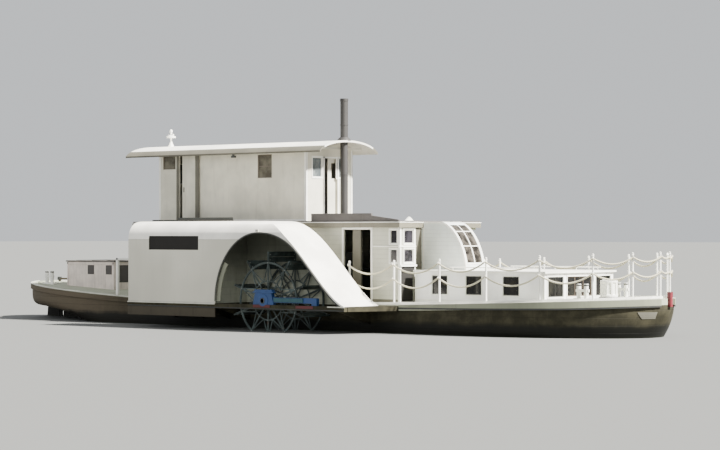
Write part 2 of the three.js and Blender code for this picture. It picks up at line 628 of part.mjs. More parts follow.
// Steering wheel on its pedestal
const helm = { x: -2060, z: 4500, radius: 560, spokes: 8, axle: 45, axleClearance: 6 };
add('helm_pedestal', varnished, join(
  block(-1960, -1760, -110, 110, upperDeck.high + gap, 4650),
  rod('x', helm.axle, 190, -2035, 0, helm.z, 16),
));
function makeHelm() {
  const rim = cut(rod('x', helm.radius - 120, 50, 0, 0, 0, 32), rod('x', helm.radius - 175, 80, 0, 0, 0, 32));
  const spokes = [];
  for (let k = 0; k < helm.spokes; k += 1) {
    spokes.push(block(-16, 16, -16, 16, 60, helm.radius).rotate([(k * 360) / helm.spokes, 0, 0]));
  }
  const wheelSolid = join(rod('x', 95, 70, 0, 0, 0), rim, ...spokes);
  return cut(wheelSolid, rod('x', helm.axle + helm.axleClearance, 200, 0, 0, 0, 16))
    .translate([helm.x, 0, helm.z]);
}
add('helm_wheel', varnished, makeHelm());

// Rudder: stock through the counter, blade on the sternpost's heel, tiller on deck
function makeRudder() {
  const x = rudder.x;
  const stock = rod('z', rudder.stock, rudder.head - rudder.low, x, 0, (rudder.head + rudder.low) / 2);
  const blade = alongY([
    [x + 150, rudder.low + 20], [x + 150, rudder.high - 60], [x, rudder.high], [x - rudder.blade, rudder.high + 10],
    [x - rudder.blade - 60, -250], [x - rudder.blade + 60, rudder.low + 20],
  ], -30, 30);
  const tiller = block(x - 90, x + 900, -35, 35, rudder.head - 100, rudder.head - 40);
  return join(stock, blade, tiller);
}
add('rudder', ironDark, makeRudder());

// Deck fittings
add('aft_locker', weathered, seatOnDeck(cut(
  block(locker.aft, locker.fore, locker.near, locker.far, deckLevel, locker.top - locker.lid - gap),
  block(locker.aft + locker.wall, locker.fore - locker.wall, locker.near + locker.wall, locker.far - locker.wall,
    locker.floor, locker.top),
)));
add('aft_locker_lid', weathered, block(locker.aft - 30, locker.fore + 30, locker.near - 30, locker.far + 30,
  locker.top - locker.lid, locker.top));

const capstanFoot = sheer(capstanX) + deckCamber;
add('capstan_bed', ironDark, seatOnDeck(join(
  rod('z', 300, 160, capstanX, 0, capstanFoot - 40), rod('z', 60, 520, capstanX, 0, capstanFoot + 200),
)));
function makeCapstan() {
  const base = capstanFoot + 46;
  const drum = turned([
    [66, base], [262, base], [262, base + 50], [232, base + 90], [226, base + 390], [258, base + 430],
    [258, base + 480], [66, base + 480], [66, base],
  ], capstanX, 0);
  const whelps = [];
  const whelpCount = 10;
  for (let k = 0; k < whelpCount; k += 1) {
    const whelp = block(150, 256, -22, 22, base + 20, base + 460).rotate([0, 0, (k * 360) / whelpCount]);
    whelps.push(whelp.translate([capstanX, 0, 0]));
  }
  return join(drum, ...whelps);
}
add('capstan_barrel', white, makeCapstan());

function makeBitts(x, y) {
  const foot = sheer(x);
  const posts = [-130, 130].map((dx) => rod('z', 65, 520, x + dx, y, foot + 230, 14));
  return seatOnDeck(join(block(x - 260, x + 260, y - 95, y + 95, foot - 100, foot + 70), ...posts,
    block(x - 220, x + 220, y - 30, y + 30, foot + 260, foot + 330)));
}
addPair('fore_bitts', white, makeBitts(bitts.foreX, -bitts.foreY));
addPair('aft_bitts', white, makeBitts(bitts.aftX, -bitts.aftY));

// Rail posts on a low plank along the deck's edge, from the paddle box round to the stem
function edgeNormal(x) {
  const slope = (halfBreadth(Math.min(x + 20, stemX)) - halfBreadth(x - 20)) / 40;
  const length = Math.hypot(slope, 1);
  return [-slope / length, 1 / length]; // outward on the port side: [x, y]
}

function postPlace(x) {
  const [nx, ny] = edgeNormal(x);
  return [x - nx * post.inset, -(halfBreadth(x) - ny * post.inset)];
}

function makeRail() {
  const edge = [1880, 3000, 4500, midForeX, 7800, 8900, 9900, 10700, 11200, 11500, 11660];
  const plank = skin(edge.map((x) => {
    const [px, py] = postPlace(x);
    const [nx, ny] = edgeNormal(x);
    const low = sheer(x) - 60;
    const high = sheer(x) + 75;
    const a = [px + nx * 45, py - ny * 45];
    const b = [px - nx * 45, py + ny * 45];
    return [[...a, high], [...a, low], [...b, low], [...b, high]];
  }));
  const posts = postStations.map((x) => {
    const [px, py] = postPlace(x);
    return rod('z', post.radius, post.height + 60, px, py, sheer(x) + post.height / 2 - 30, 8);
  });
  return seatOnDeck(join(plank, ...posts));
}
addPair('rail', white, makeRail());

add('stem_post', white, seatOnDeck(rod('z', stemPost.radius, stemPost.height + 100, stemPost.x, 0,
  sheer(stemPost.x) + stemPost.height / 2 - 50, 8)));

// Rope rails: straight-segment route from post to post, hanging in a shallow curve between them
function ropeStops(drop) {
  const stops = postStations.map((x) => {
    const [nx, ny] = edgeNormal(x);
    const [px, py] = postPlace(x);
    return [px + nx * rope.offset, py - ny * rope.offset, sheer(x) + post.height - 60 - drop];
  });
  const bow = [stemPost.x + rope.offset, 0, sheer(stemPost.x) + stemPost.height - 60 - drop];
  return [...stops, bow, ...[...stops].reverse().map(([x, y, z]) => [x, -y, z])];
}

function ropePoints(drop, sag) {
  const stops = ropeStops(drop);
  const points = [];
  for (let k = 0; k + 1 < stops.length; k += 1) {
    const [from, to] = [stops[k], stops[k + 1]];
    const span = Math.hypot(to[0] - from[0], to[1] - from[1]);
    const steps = span > 1200 ? 6 : 4;
    for (let s = 0; s < steps; s += 1) {
      const t = s / steps;
      points.push(new THREE.Vector3(
        from[0] + (to[0] - from[0]) * t,
        from[1] + (to[1] - from[1]) * t,
        from[2] + (to[2] - from[2]) * t - 4 * sag * span * t * (1 - t),
      ));
    }
  }
  points.push(new THREE.Vector3(...stops[stops.length - 1]));
  return points;
}

// A curve that runs straight from each point to the next
class RopeRun extends THREE.Curve {
  constructor(points) {
    super();
    this.points = points;
  }

  getUtoTmapping(u) {
    return u;
  }

  getPoint(t, target = new THREE.Vector3()) {
    const place = t * (this.points.length - 1);
    const k = Math.min(Math.floor(place), this.points.length - 2);
    return target.copy(this.points[k]).lerp(this.points[k + 1], place - k);
  }
}

function makeRope(drop, sag) {
  const points = ropePoints(drop, sag);
  const section = new THREE.Shape();
  for (let k = 0; k < rope.sides; k += 1) {
    const angle = (2 * Math.PI * k) / rope.sides;
    const at = [rope.radius * Math.cos(angle), rope.radius * Math.sin(angle)];
    if (k === 0) section.moveTo(...at);
    else section.lineTo(...at);
  }
  return solidOf(new THREE.ExtrudeGeometry(section, {
    steps: points.length - 1, extrudePath: new RopeRun(points), bevelEnabled: false,
  }));
}
add('upper_rope_rail', ropeCream, makeRope(0, rope.upperSag));
add('lower_rope_rail', ropeCream, makeRope(rope.lowerDrop, rope.lowerSag));

export default parts;
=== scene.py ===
# A small side-wheel paddle steamer afloat. Metres, +X to the bow, +Y to port, +Z up, water at zero.
import math

import bmesh
import bpy
import numpy as np
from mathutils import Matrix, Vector


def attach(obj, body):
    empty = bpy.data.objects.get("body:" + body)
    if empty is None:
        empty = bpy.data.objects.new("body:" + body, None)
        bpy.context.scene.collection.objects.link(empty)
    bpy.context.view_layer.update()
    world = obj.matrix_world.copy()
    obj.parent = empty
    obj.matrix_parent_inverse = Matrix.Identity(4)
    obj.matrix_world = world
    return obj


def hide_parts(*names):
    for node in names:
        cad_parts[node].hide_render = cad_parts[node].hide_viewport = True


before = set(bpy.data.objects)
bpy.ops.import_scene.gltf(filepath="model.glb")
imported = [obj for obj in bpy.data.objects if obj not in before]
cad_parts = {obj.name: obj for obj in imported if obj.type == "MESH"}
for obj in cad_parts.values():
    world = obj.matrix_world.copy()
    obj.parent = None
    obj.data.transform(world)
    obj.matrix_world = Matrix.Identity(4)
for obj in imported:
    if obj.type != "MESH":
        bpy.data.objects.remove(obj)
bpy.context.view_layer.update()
scene = bpy.context.scene
turn = 2 * math.pi


# Camera, lamps and floor

view = dict(at=(44.593, -53.163, 3.0), aim=(0.1, 0.0, 3.28), lens=107.8, sensor=36, near=1, far=2000)
light = dict(sunFrom=(0.72, 0.21, 0.72), sunPower=25, sunSpread=4, sunColour=(1.0, 0.97, 0.92),
             fillFrom=(0.25, -0.9, 0.45), fillPower=0.65, fillSpread=60,
             skyColour=(0.86, 0.89, 0.92, 1), skyPower=0.85)
floor = dict(half=600, colour=(0.13, 0.133, 0.128, 1), roughness=0.85)


def setCamera():
    data = bpy.data.cameras.new("shoreCamera")
    data.lens, data.sensor_width = view["lens"], view["sensor"]
    data.clip_start, data.clip_end = view["near"], view["far"]
    camera = bpy.data.objects.new("shoreCamera", data)
    camera.location = view["at"]
    camera.rotation_euler = (Vector(view["aim"]) - Vector(view["at"])).to_track_quat("-Z", "Y").to_euler()
    scene.collection.objects.link(camera)
    scene.camera = camera


def addSun(name, comesFrom, power, spread, colour=(1, 1, 1)):
    sun = bpy.data.lights.new(name, "SUN")
    sun.energy, sun.angle, sun.color = power, math.radians(spread), colour
    lamp = bpy.data.objects.new(name, sun)
    lamp.rotation_euler = Vector(comesFrom).to_track_quat("Z", "Y").to_euler()
    scene.collection.objects.link(lamp)


def setLamps():
    addSun("keyLamp", light["sunFrom"], light["sunPower"], light["sunSpread"], light["sunColour"])
    addSun("fillLamp", light["fillFrom"], light["fillPower"], light["fillSpread"])
    world = bpy.data.worlds.new("paleSky")
    world.use_nodes = True
    sky = world.node_tree.nodes["Background"]
    sky.inputs["Color"].default_value = light["skyColour"]
    sky.inputs["Strength"].default_value = light["skyPower"]
    scene.world = world


def makeFloor():
    # Grey studio floor at the waterline
    half = floor["half"]
    mesh = bpy.data.meshes.new("studioFloor")
    corners = [(-half, -half, 0), (half, -half, 0), (half, half, 0), (-half, half, 0)]
    mesh.from_pydata(corners, [], [(0, 1, 2, 3)])
    paint = Finish("floorPaint", floor["roughness"])
    mesh.materials.append(paint.colour(floor["colour"]).material)
    piece = bpy.data.objects.new("studioFloor", mesh)
    scene.collection.objects.link(piece)


# Shader writing

def tint(code):  # a display colour 0xRRGGBB as scene-linear red, green, blue, alpha
    parts = [(code >> shift & 255) / 255 for shift in (16, 8, 0)]
    return tuple(p / 12.92 if p <= 0.04045 else ((p + 0.055) / 1.055) ** 2.4 for p in parts) + (1,)


class Signal:  # one output socket; arithmetic on it adds Math nodes
    def __init__(self, finish, socket):
        self.finish, self.socket = finish, socket

    def work(self, operation, first, second=0.0):
        return self.finish.node("ShaderNodeMath", {"operation": operation}, {0: first, 1: second})

    def __add__(self, other):
        return self.work("ADD", self, other)

    def __sub__(self, other):
        return self.work("SUBTRACT", self, other)

    def __rsub__(self, other):
        return self.work("SUBTRACT", other, self)

    def __mul__(self, other):
        return self.work("MULTIPLY", self, other)

    def __truediv__(self, other):
        return self.work("DIVIDE", self, other)

    def part(self):  # what is left of the value above its whole number
        return self.work("FRACT", self)

    def size(self):
        return self.work("ABSOLUTE", self)

    def upTo(self, other):
        return self.work("MINIMUM", self, other)

    def fade(self, low, high):  # 0 below low, 1 above high, smooth between
        settings = {"interpolation_type": "SMOOTHSTEP"}
        return self.finish.node("ShaderNodeMapRange", settings, {"Value": self, 1: low, 2: high})

    def seams(self, pitch, start):  # 0 along each board, rising to 1 at the seams a pitch apart
        return ((self / pitch).part() - 0.5).size().fade(start, 0.5)


class Finish:  # one material with its Principled shader
    def __init__(self, name, roughness=0.6, metallic=0.0, **fixed):
        self.material = bpy.data.materials.new(name)
        self.material.use_nodes = True
        self.tree = self.material.node_tree
        self.shader = self.tree.nodes["Principled BSDF"]
        self.feed(self.shader, {"Roughness": roughness, "Metallic": metallic, **fixed})
        where = self.tree.nodes.new("ShaderNodeTexCoord")
        self.place = Signal(self, where.outputs["Object"])
        self.uv = Signal(self, where.outputs["UV"])

    def feed(self, node, inputs):
        for key, value in inputs.items():
            if isinstance(value, Signal):
                self.tree.links.new(value.socket, node.inputs[key])
            else:
                node.inputs[key].default_value = value

    def node(self, kind, settings=None, inputs=None, output=0):
        made = self.tree.nodes.new(kind)
        for key, value in (settings or {}).items():
            setattr(made, key, value)
        self.feed(made, inputs or {})
        return Signal(self, made.outputs[output])

    def along(self, axis, source=None):
        return self.node("ShaderNodeSeparateXYZ", None, {0: source or self.place}, axis)

    def noise(self, scale, stretch=(1, 1, 1), detail=4.0, roughness=0.6):
        mapped = self.node("ShaderNodeMapping", None, {"Vector": self.place, "Scale": stretch})
        inputs = {"Vector": mapped, "Scale": scale, "Detail": detail, "Roughness": roughness}
        return self.node("ShaderNodeTexNoise", None, inputs)

    def blend(self, mask, first, second):
        return self.node("ShaderNodeMix", {"data_type": "RGBA"}, {0: mask, 6: first, 7: second}, 2)

    def colour(self, signal):
        self.feed(self.shader, {"Base Color": signal})
        return self

    def dull(self, signal):
        self.feed(self.shader, {"Roughness": signal})
        return self

    def relief(self, height, distance=0.004, strength=0.6):
        inputs = {"Height": height, "Distance": distance, "Strength": strength}
        self.feed(self.shader, {"Normal": self.node("ShaderNodeBump", None, inputs)})
        return self


# Finishes

paints = {  # colour, grime, roughness, streaks, boards as (axis, pitch, groove), how fine its patches are
    "boxWhite": (0xF6F3EA, 0xC2BBA8, 0.45, 0.1),
    # the box's white darkened as painted shade, for its upright sides
    "boxShadedSide": (0xCFCCBE, 0xA9A393, 0.5, 0.18, None, 0.25),
    "wallWhite": (0xD6D2C1, 0x98927F, 0.5, 0.35),
    "houseBoards": (0xB6B6A7, 0x7F7D69, 0.55, 0.3, (2, 0.14, 0.006)),
    "cabinWhite": (0xFAF8F8, 0xB9B2AA, 0.45, 0.25),
    "roofWhite": (0xF4F2E8, 0xB4AC98, 0.55, 0.3, None, 0.5),
    "roofUnder": (0xC9C6BA, 0x8B8675, 0.6, 0.4),
    "trimWhite": (0xF3F2EA, 0xA59E8C, 0.4, 0.2),
    "capWhite": (0xCBCABD, 0x807B68, 0.55, 0.6),
    "hoodBlue": (0xDDE2DF, 0x9AA09A, 0.5, 0.3, (2, 0.12, 0.005)),
    "oldCream": (0xE6DAD0, 0x9A8D80, 0.7, 0.6, (0, 0.16, 0.004), 2.0),
    # the upper deck's fascia darkened as painted shade
    "fasciaShade": (0x6E6A5B, 0x504B3E, 0.5, 0.5),
    "edgeSage": (0xA3A591, 0x6B6C58, 0.6, 0.5),
    "bandSage": (0x7E816D, 0x56584A, 0.6, 0.4),
    "lapGrey": (0xBDBBB0, 0x8F8B7C, 0.5, 0.4),
    "jambGrey": (0x868877, 0x4F5140, 0.6, 0.8),
    # grey that stands for shade on the roof's eaves, door strips, gangway post and recess wall: painted
    # shade; also the bow board's own grey
    "greyPaintAndShade": (0x625F53, 0x4A473B, 0.6, 0.5),
    "slabGrey": (0x534F4D, 0x393634, 0.75, 0.4),
    "seamGrey": (0x474341, 0x33302E, 0.8, 0.4),
    "outlineGrey": (0x3F403C, 0x2A2A26, 0.5, 0.3),
    "funnelGrey": (0x33312F, 0x221F1C, 0.6, 0.7),
    # near-black that stands for shaded space behind openings: painted shade
    "shadedInside": (0x1D1B18, 0x0E0D0C, 0.9, 0.3),
    "sashBrown": (0x5E5348, 0x3B332A, 0.55, 0.5),
    "skirtBrown": (0x3F382A, 0x25251A, 0.7, 0.8),
    "bearingBlue": (0x1F4070, 0x141D2E, 0.5, 0.5, None, 4.0),
    "tealPaint": (0x1C4A54, 0x142427, 0.5, 0.5, None, 4.0),
    "signalRed": (0x6A1C27, 0x341414, 0.42, 0.4, None, 4.0),
    "beamRed": (0x521D1F, 0x231512, 0.6, 0.6, None, 3.0),
    "blackIron": (0x2B2D2B, 0x4A3527, 0.5, 0.5, None, 4.0),
    "shaftSteel": (0x8B8C88, 0x54483A, 0.35, 0.5, None, 4.0),
}
glasses = {  # two tones and how fine they mix
    "blackGlass": (0x0B0B0C, 0x1B1A18),
    "brownGlass": (0x4A453B, 0x6B6759),
    "paleGlass": (0x4C5254, 0x7A807F),
    "bayGlass": (0x121114, 0x2B292E),
    "mottledGlass": (0x1C1A17, 0x4F4A43, 4.0),
}
paintWear = dict(lighter=1.06, darker=0.86, streaks=(2.2, 2.2, 0.22), brush=60, bristles=(1, 1, 0.15))


def oilPaint(name, base, dirt, roughness, streak, boards=None, patch=1.0):
    # Brushed oil paint: broad colour drift, rain streaks drawn out downwards, grime gathered in patches
    paint = Finish(name, roughness)
    base, dirt = tint(base), tint(dirt)
    drift = paint.noise(0.9 * patch, detail=3)
    streaks = paint.noise(3.0, paintWear["streaks"], detail=6, roughness=0.7)
    blotch = paint.noise(7.0, detail=5, roughness=0.65)
    lighter = tuple(min(1, c * paintWear["lighter"]) for c in base[:3]) + (1,)
    darker = tuple(c * paintWear["darker"] for c in base[:3]) + (1,)
    surface = paint.blend(drift.fade(0.35, 0.65), darker, lighter)
    grime = streaks.fade(0.52, 0.8) * streak + blotch.fade(0.6, 0.85) * (0.4 * streak)
    surface = paint.blend(grime.upTo(1.0), surface, dirt)
    height = paint.noise(paintWear["brush"], paintWear["bristles"], detail=3) * 0.25 + blotch * 0.5
    if boards:
        axis, pitch, width = boards
        groove = paint.along(axis).seams(pitch, 0.5 - width / pitch)
        surface = paint.blend(groove * 0.65, surface, dirt)
        height = height - groove * 4.0
    return paint.colour(surface).dull(grime * 0.25 + roughness).relief(height, 0.003, 0.5).material


def oldGlass(name, first, second, scale=3.0):
    # One dark tone drifts into another, with smears that dull it
    paint = Finish(name, 0.08, 0.0, **{"IOR": 1.5, "Specular IOR Level": 0.25})
    smear = paint.noise(scale, detail=4)
    body = paint.blend(smear.fade(0.35, 0.65), tint(first), tint(second))
    return paint.colour(body).dull(smear * 0.15 + 0.04).material


tar = dict(fresh=0x29271B, faded=0x3D3A2B, washed=0x4F4B3B, rust=0x4A3524, seam=0x1B1712,
           worn=0x62584A, wornAft=-10.5, wornTo=-5.0, wet=0x0C0D09, wetShadeLow=0.16, wetShadeHigh=0.34,
           scum=0x23281A, scumLine=0.03, plank=0.22, firstSeam=0.07)


def hullPaint():
    # Brown-black tar, paler and worn aft, green-black near the water, partly where the water wets it and
    # partly painted shade, with streaks of rain and rust
    paint = Finish("hullPaint", 0.7, 0.0, **{"Specular IOR Level": 0.2})
    height = paint.along(2)
    wave = paint.noise(1.6, (1, 1, 0.4), detail=5)
    streaks = paint.noise(4.5, (1.6, 1.6, 0.10), detail=6, roughness=0.7)
    blotch = paint.noise(2.2, detail=6, roughness=0.65)
    body = paint.blend(blotch.fade(0.35, 0.7), tint(tar["fresh"]), tint(tar["faded"]))
    body = paint.blend(streaks.fade(0.55, 0.78) * 0.45, body, tint(tar["washed"]))
    body = paint.blend(streaks.fade(0.62, 0.7) * blotch.fade(0.5, 0.7) * 0.4, body, tint(tar["rust"]))
    weathered = 1 - paint.along(0).fade(tar["wornAft"], tar["wornTo"])
    body = paint.blend(weathered * 0.75, body, tint(tar["worn"]))
    # darker low down: partly the wet line, partly painted shade
    dampAndShade = 1 - (height - wave * 0.2).fade(tar["wetShadeLow"], tar["wetShadeHigh"])
    body = paint.blend(dampAndShade * 0.93, body, tint(tar["wet"]))
    scum = 1 - (height - wave * 0.07).fade(-tar["scumLine"], tar["scumLine"])
    body = paint.blend(scum * 0.6, body, tint(tar["scum"]))
    lines = (height + tar["firstSeam"]).seams(tar["plank"], 0.47)
    body = paint.blend(lines * 0.35, body, tint(tar["seam"]))
    paint.colour(body).dull(0.75 - dampAndShade * 0.2)
    return paint.relief(blotch * 0.8 + streaks * 0.3 - lines * 2.0, 0.006, 0.6).material


def boxLining():
    # Olive boards, paler low down and darker towards the box's top, partly dirt and partly painted shade,
    # with wet runs between
    paint = Finish("boxLining", 0.8)
    height = paint.along(2)
    blotch = paint.noise(2.4, detail=6, roughness=0.7)
    runs = paint.noise(3.0, (2.0, 2.0, 0.2), detail=5)
    body = paint.blend((height + blotch * 0.8).fade(1.2, 3.0), tint(0xB4B6A4), tint(0x5E6055))
    body = paint.blend(runs.fade(0.5, 0.75) * 0.5, body, tint(0x4C4D42))
    line = height.seams(0.22, 0.47)
    body = paint.blend(line * 0.4, body, tint(0x25261F))
    return paint.colour(body).relief(blotch * 0.6 - line, 0.004, 0.5).material


def deckWood():
    # Worn sage paint over planks: bare grey wood shows where feet wear it, grain runs fore and aft
    paint = Finish("deckWood", 0.75)
    grain = paint.noise(9.0, (0.12, 3.5, 1), detail=6, roughness=0.7)
    worn = paint.noise(1.3, detail=5)
    body = paint.blend(grain.fade(0.35, 0.7), tint(0x9CA08E), tint(0xB9BCA6))
    body = paint.blend(worn.fade(0.5, 0.72) * 0.7, body, tint(0x8F887A))
    return paint.colour(body).relief(grain, 0.003, 0.5).material


def wheelIron():
    # Wet dark paint on iron, rust and paler dried silt in random patches
    paint = Finish("wheelIron", 0.45, 0.2)
    blotch = paint.noise(6.0, detail=6, roughness=0.7)
    silt = paint.noise(2.5, detail=4)
    body = paint.blend(silt.fade(0.4, 0.7), tint(0x2C3634), tint(0x4E5A58))
    body = paint.blend(blotch.fade(0.58, 0.72) * 0.75, body, tint(0x5A3A26))
    return paint.colour(body).dull(blotch * 0.5 + 0.25).relief(blotch, 0.003, 0.5).material


def ropeLay():
    # Three-strand rope: the strands' furrows wind round as the first UV coordinate, in lay lengths, grows
    paint = Finish("ropeLay", 0.85)
    turnAt = paint.along(0, paint.uv) + paint.along(1, paint.uv)
    strand = ((turnAt * 3.0).part() - 0.5).size() * 2.0
    fuzz = paint.noise(220.0, detail=3)
    body = paint.blend(strand.fade(0.55, 1.0), tint(0xCFC9AF), tint(0x8C8468))
    body = paint.blend(fuzz.fade(0.5, 0.8) * 0.35, body, tint(0xE6E2CC))
    return paint.colour(body).relief((1 - strand) + fuzz * 0.3, 0.006, 0.9).material


def varnish():
    paint = Finish("varnish", 0.3, 0.0, **{"Coat Weight": 0.5})
    grain = paint.noise(14.0, (3, 3, 0.25), detail=6)
    body = paint.blend(grain.fade(0.3, 0.7), tint(0x5A3417), tint(0x8C5A2C))
    return paint.colour(body).relief(grain, 0.001, 0.3).material


def makeFinishes():
    made = {name: oilPaint(name, *look) for name, look in paints.items()}
    made |= {name: oldGlass(name, *look) for name, look in glasses.items()}
    made |= dict(hullPaint=hullPaint(), boxLining=boxLining(), deckWood=deckWood(), wheelIron=wheelIron(),
                 ropeLay=ropeLay(), varnish=varnish())
    print("finishes", len(made))
    return made


# Surfaces by numpy

def quads(rows, columns, ringed=False):
    # Corner numbers of the faces of a rows by columns grid; ringed joins the last column to the first
    r, c = np.meshgrid(np.arange(rows - 1), np.arange(columns if ringed else columns - 1), indexing="ij")
    a = r * columns + c
    b = r * columns + (c + 1) % columns
    return np.stack([a, b, b + columns, a + columns], -1).reshape(-1, 4)


def tubeFaces(rows, count):
    # Faces of a closed form from a grid of rows rings with count points each: its wall and both ends
    end = np.arange(count)[None]
    return [quads(rows, count, True), end[:, ::-1], end + (rows - 1) * count]


def boards(rows):
    # Square-edged boards, each row the limits of one along X, Y and Z
    rows = np.atleast_2d(np.asarray(rows, float))
    low, high = rows[:, 0::2], rows[:, 1::2]
    pick = np.array([[0, 0, 0], [1, 0, 0], [1, 1, 0], [0, 1, 0], [0, 0, 1], [1, 0, 1], [1, 1, 1], [0, 1, 1]])
    points = low[:, None, :] + (high - low)[:, None, :] * pick
    sides = np.array([[0, 3, 2, 1], [4, 5, 6, 7], [0, 1, 5, 4], [1, 2, 6, 5], [2, 3, 7, 6], [3, 0, 4, 7]])
    faces = np.arange(len(rows))[:, None, None] * 8 + sides
    return points.reshape(-1, 3), faces.reshape(-1, 4)


def onWall(axis, near, far, start, stop, low, high):
    # Limits of a board on a wall square to an axis: near and far on it, start to stop along it, low to high
    limits = [(start, stop), (low, high)]
    limits.insert(axis, sorted((near, far)))
    return [value for pair in limits for value in pair]


def framed(axis, near, far, start, stop, low, high, width):
    # Four boards round an opening in a wall square to the axis
    left, right = start - width, stop + width
    spans = [(left, right, low - width, low), (left, right, high, high + width),
             (left, start, low, high), (stop, right, low, high)]
    return boards([onWall(axis, near, far, *span) for span in spans])


def carried(section, path, across, up, closed=False):
    # A section of (out, up) offsets carried along a path: point = path + out * across + up * upward
    path, section = np.asarray(path, float), np.asarray(section, float)
    across = np.broadcast_to(np.asarray(across, float), path.shape)
    up = np.broadcast_to(np.asarray(up, float), path.shape)
    points = path[:, None] + section[None, :, :1] * across[:, None] + section[None, :, 1:] * up[:, None]
    if closed:
        points = np.concatenate([points, points[:1]])
        return points.reshape(-1, 3), quads(len(points), len(section), True)
    return points.reshape(-1, 3), tubeFaces(len(points), len(section))


def turned(profile, centre, axis=2, sides=32):
    # A profile of (radius, height) turned round an axis through the centre
    profile = np.asarray(profile, float)
    angle = np.linspace(0, turn, sides, endpoint=False)
    radius, height = profile[:, :1], np.repeat(profile[:, 1:], sides, 1)
    first, second = radius * np.cos(angle), radius * np.sin(angle)
    order = {2: (first, second, height), 0: (height, first, second), 1: (second, height, first)}[axis]
    points = np.stack(order, -1).reshape(-1, 3) + np.asarray(centre, float)
    return points, quads(len(profile), sides, True)


def tubed(path, radius, sides):
    # A round tube along a path: a ring of points square to the way the path runs
    path = np.asarray(path, float)
    way = unit(np.gradient(path, axis=0))
    side = np.cross(way, (0, 0, 1.0))
    side[np.linalg.norm(side, axis=1) < 1e-3] = (1, 0, 0)
    side = unit(side)
    lift = np.cross(side, way)
    angle = np.linspace(0, turn, sides, endpoint=False)
    ring = np.cos(angle)[None, :, None] * side[:, None] + np.sin(angle)[None, :, None] * lift[:, None]
    points = (path[:, None] + radius * ring).reshape(-1, 3)
    return points, [group[:, ::-1] for group in tubeFaces(len(path), sides)]


def unit(vectors):
    return vectors / np.linalg.norm(vectors, axis=1)[:, None]


def slab(outline, axis, low, high):
    # A flat outline of two coordinates given a thickness between low and high on the third axis
    outline = np.asarray(outline, float)
    flat = [np.insert(outline, axis, level, 1) for level in (low, high)]
    return np.concatenate(flat), tubeFaces(2, len(outline))


def upright(path):
    # A path of (x, z) as points over the centreline, with the direction square to it, in its plane
    way = unit(np.gradient(path, axis=0))
    line = np.stack([path[:, 0], np.zeros(len(path)), path[:, 1]], -1)
    return line, np.stack([way[:, 1], np.zeros(len(way)), -way[:, 0]], -1)


def ribbon(path, inset, width, y0, y1):
    # A flat strip beside a path in the X-Z plane, inward of it by the inset
    line, inward = upright(path)
    section = [(inset, y0), (inset + width, y0), (inset + width, y1), (inset, y1)]
    return carried(section, line, inward, (0, 1, 0))


def strip(path, y0, y1, thick):
    # A sheet that follows a path in the X-Z plane, from y0 to y1, with its thickness inward
    line, normal = upright(path)
    return carried([(y0, 0), (y1, 0), (y1, -thick), (y0, -thick)], line, (0, 1, 0), normal)


def spun(surface, angles, centre):
    # Copies of a surface turned about the Y axis through the centre, one for each angle
    points, faces = surface
    groups = faces if isinstance(faces, list) else [faces]
    x, y, z = (np.asarray(points, float) - centre).T
    turns = [(math.sin(angle), math.cos(angle)) for angle in angles]
    copies = [np.stack([z * sine + x * cosine, y, z * cosine - x * sine], -1) for sine, cosine in turns]
    made = [np.asarray(group) + k * len(points) for k in range(len(angles)) for group in groups]
    return np.concatenate(copies) + centre, made


class Piece:  # collects surfaces and becomes one object that rides with a body
    def __init__(self, name):
        self.name, self.points, self.faces, self.count = name, [], [], 0

    def add(self, surface):
        points, faces = surface
        for group in faces if isinstance(faces, list) else [faces]:
            self.faces.append(np.asarray(group) + self.count)
        self.points.append(points)
        self.count += len(points)
        return self

    def mirror(self):
        # Adds the mirror image across the centreline, its faces turned to point out
        points, faces = np.concatenate(self.points), list(self.faces)
        self.faces += [group[:, ::-1] + self.count for group in faces]
        self.points.append(points * (1, -1, 1))
        self.count *= 2
        return self

    def make(self, material, body="hull", slot=None, smooth=0, bevel=0.0, replace=()):
        # smooth is the sharpest angle, in degrees, that is shaded smooth
        mesh = bpy.data.meshes.new(self.name)
        polygons = [row for group in self.faces for row in group.tolist()]
        mesh.from_pydata(np.concatenate(self.points).tolist(), [], polygons)
        mesh.update()
        faceOut(mesh)
        mesh.materials.append(finishes[material])
        piece = bpy.data.objects.new(self.name, mesh)
        scene.collection.objects.link(piece)
        if smooth:
            mesh.shade_smooth()
            mesh.set_sharp_from_angle(angle=math.radians(smooth))
        if bevel:
            edge = piece.modifiers.new("softEdge", "BEVEL")
            edge.width, edge.segments, edge.limit_method = bevel, 2, "ANGLE"
        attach(piece, body)
        if replace:
            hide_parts(*replace)
        return piece


def faceOut(mesh):
    work = bmesh.new()
    work.from_mesh(mesh)
    bmesh.ops.recalc_face_normals(work, faces=work.faces)
    work.to_mesh(mesh)
    work.free()


def boardPiece(name, material, rows, mirrored=True, **how):
    piece = Piece(name).add(boards(rows))
    if mirrored:
        piece.mirror()
    return piece.make(material, **how)


# The boat's lines, as in the frame

hull = dict(stern=-15.0, stem=11.7, midAft=-8.0, midFore=6.5, half=2.8, inset=0.05, deck=0.83, thick=0.18,
            camber=0.04, keel=-0.7, thin=0.04, shallow=0.06)
plan = dict(foreCurve=2, foreFull=0.6, aftCurve=2.4, aftFull=0.55)  # how the deck's edge closes in
rise = dict(fromFore=2.5, fore=0.31, fromAft=-6, aft=0.45, power=1.15)  # the deck's sheer
under = dict(fromFore=9, fore=1.5, forePower=4, fromAft=-9, aft=1.1, aftPower=3)  # the planking's underside
fineness = dict(mid=5, fromFore=4, fore=3, fromAft=-7, aft=0.8)  # how full the sections are


def partWay(x, start, end):
    # 0 up to the start, 1 at the end, even between
    return np.clip((np.asarray(x, float) - start) / (end - start), 0, 1)


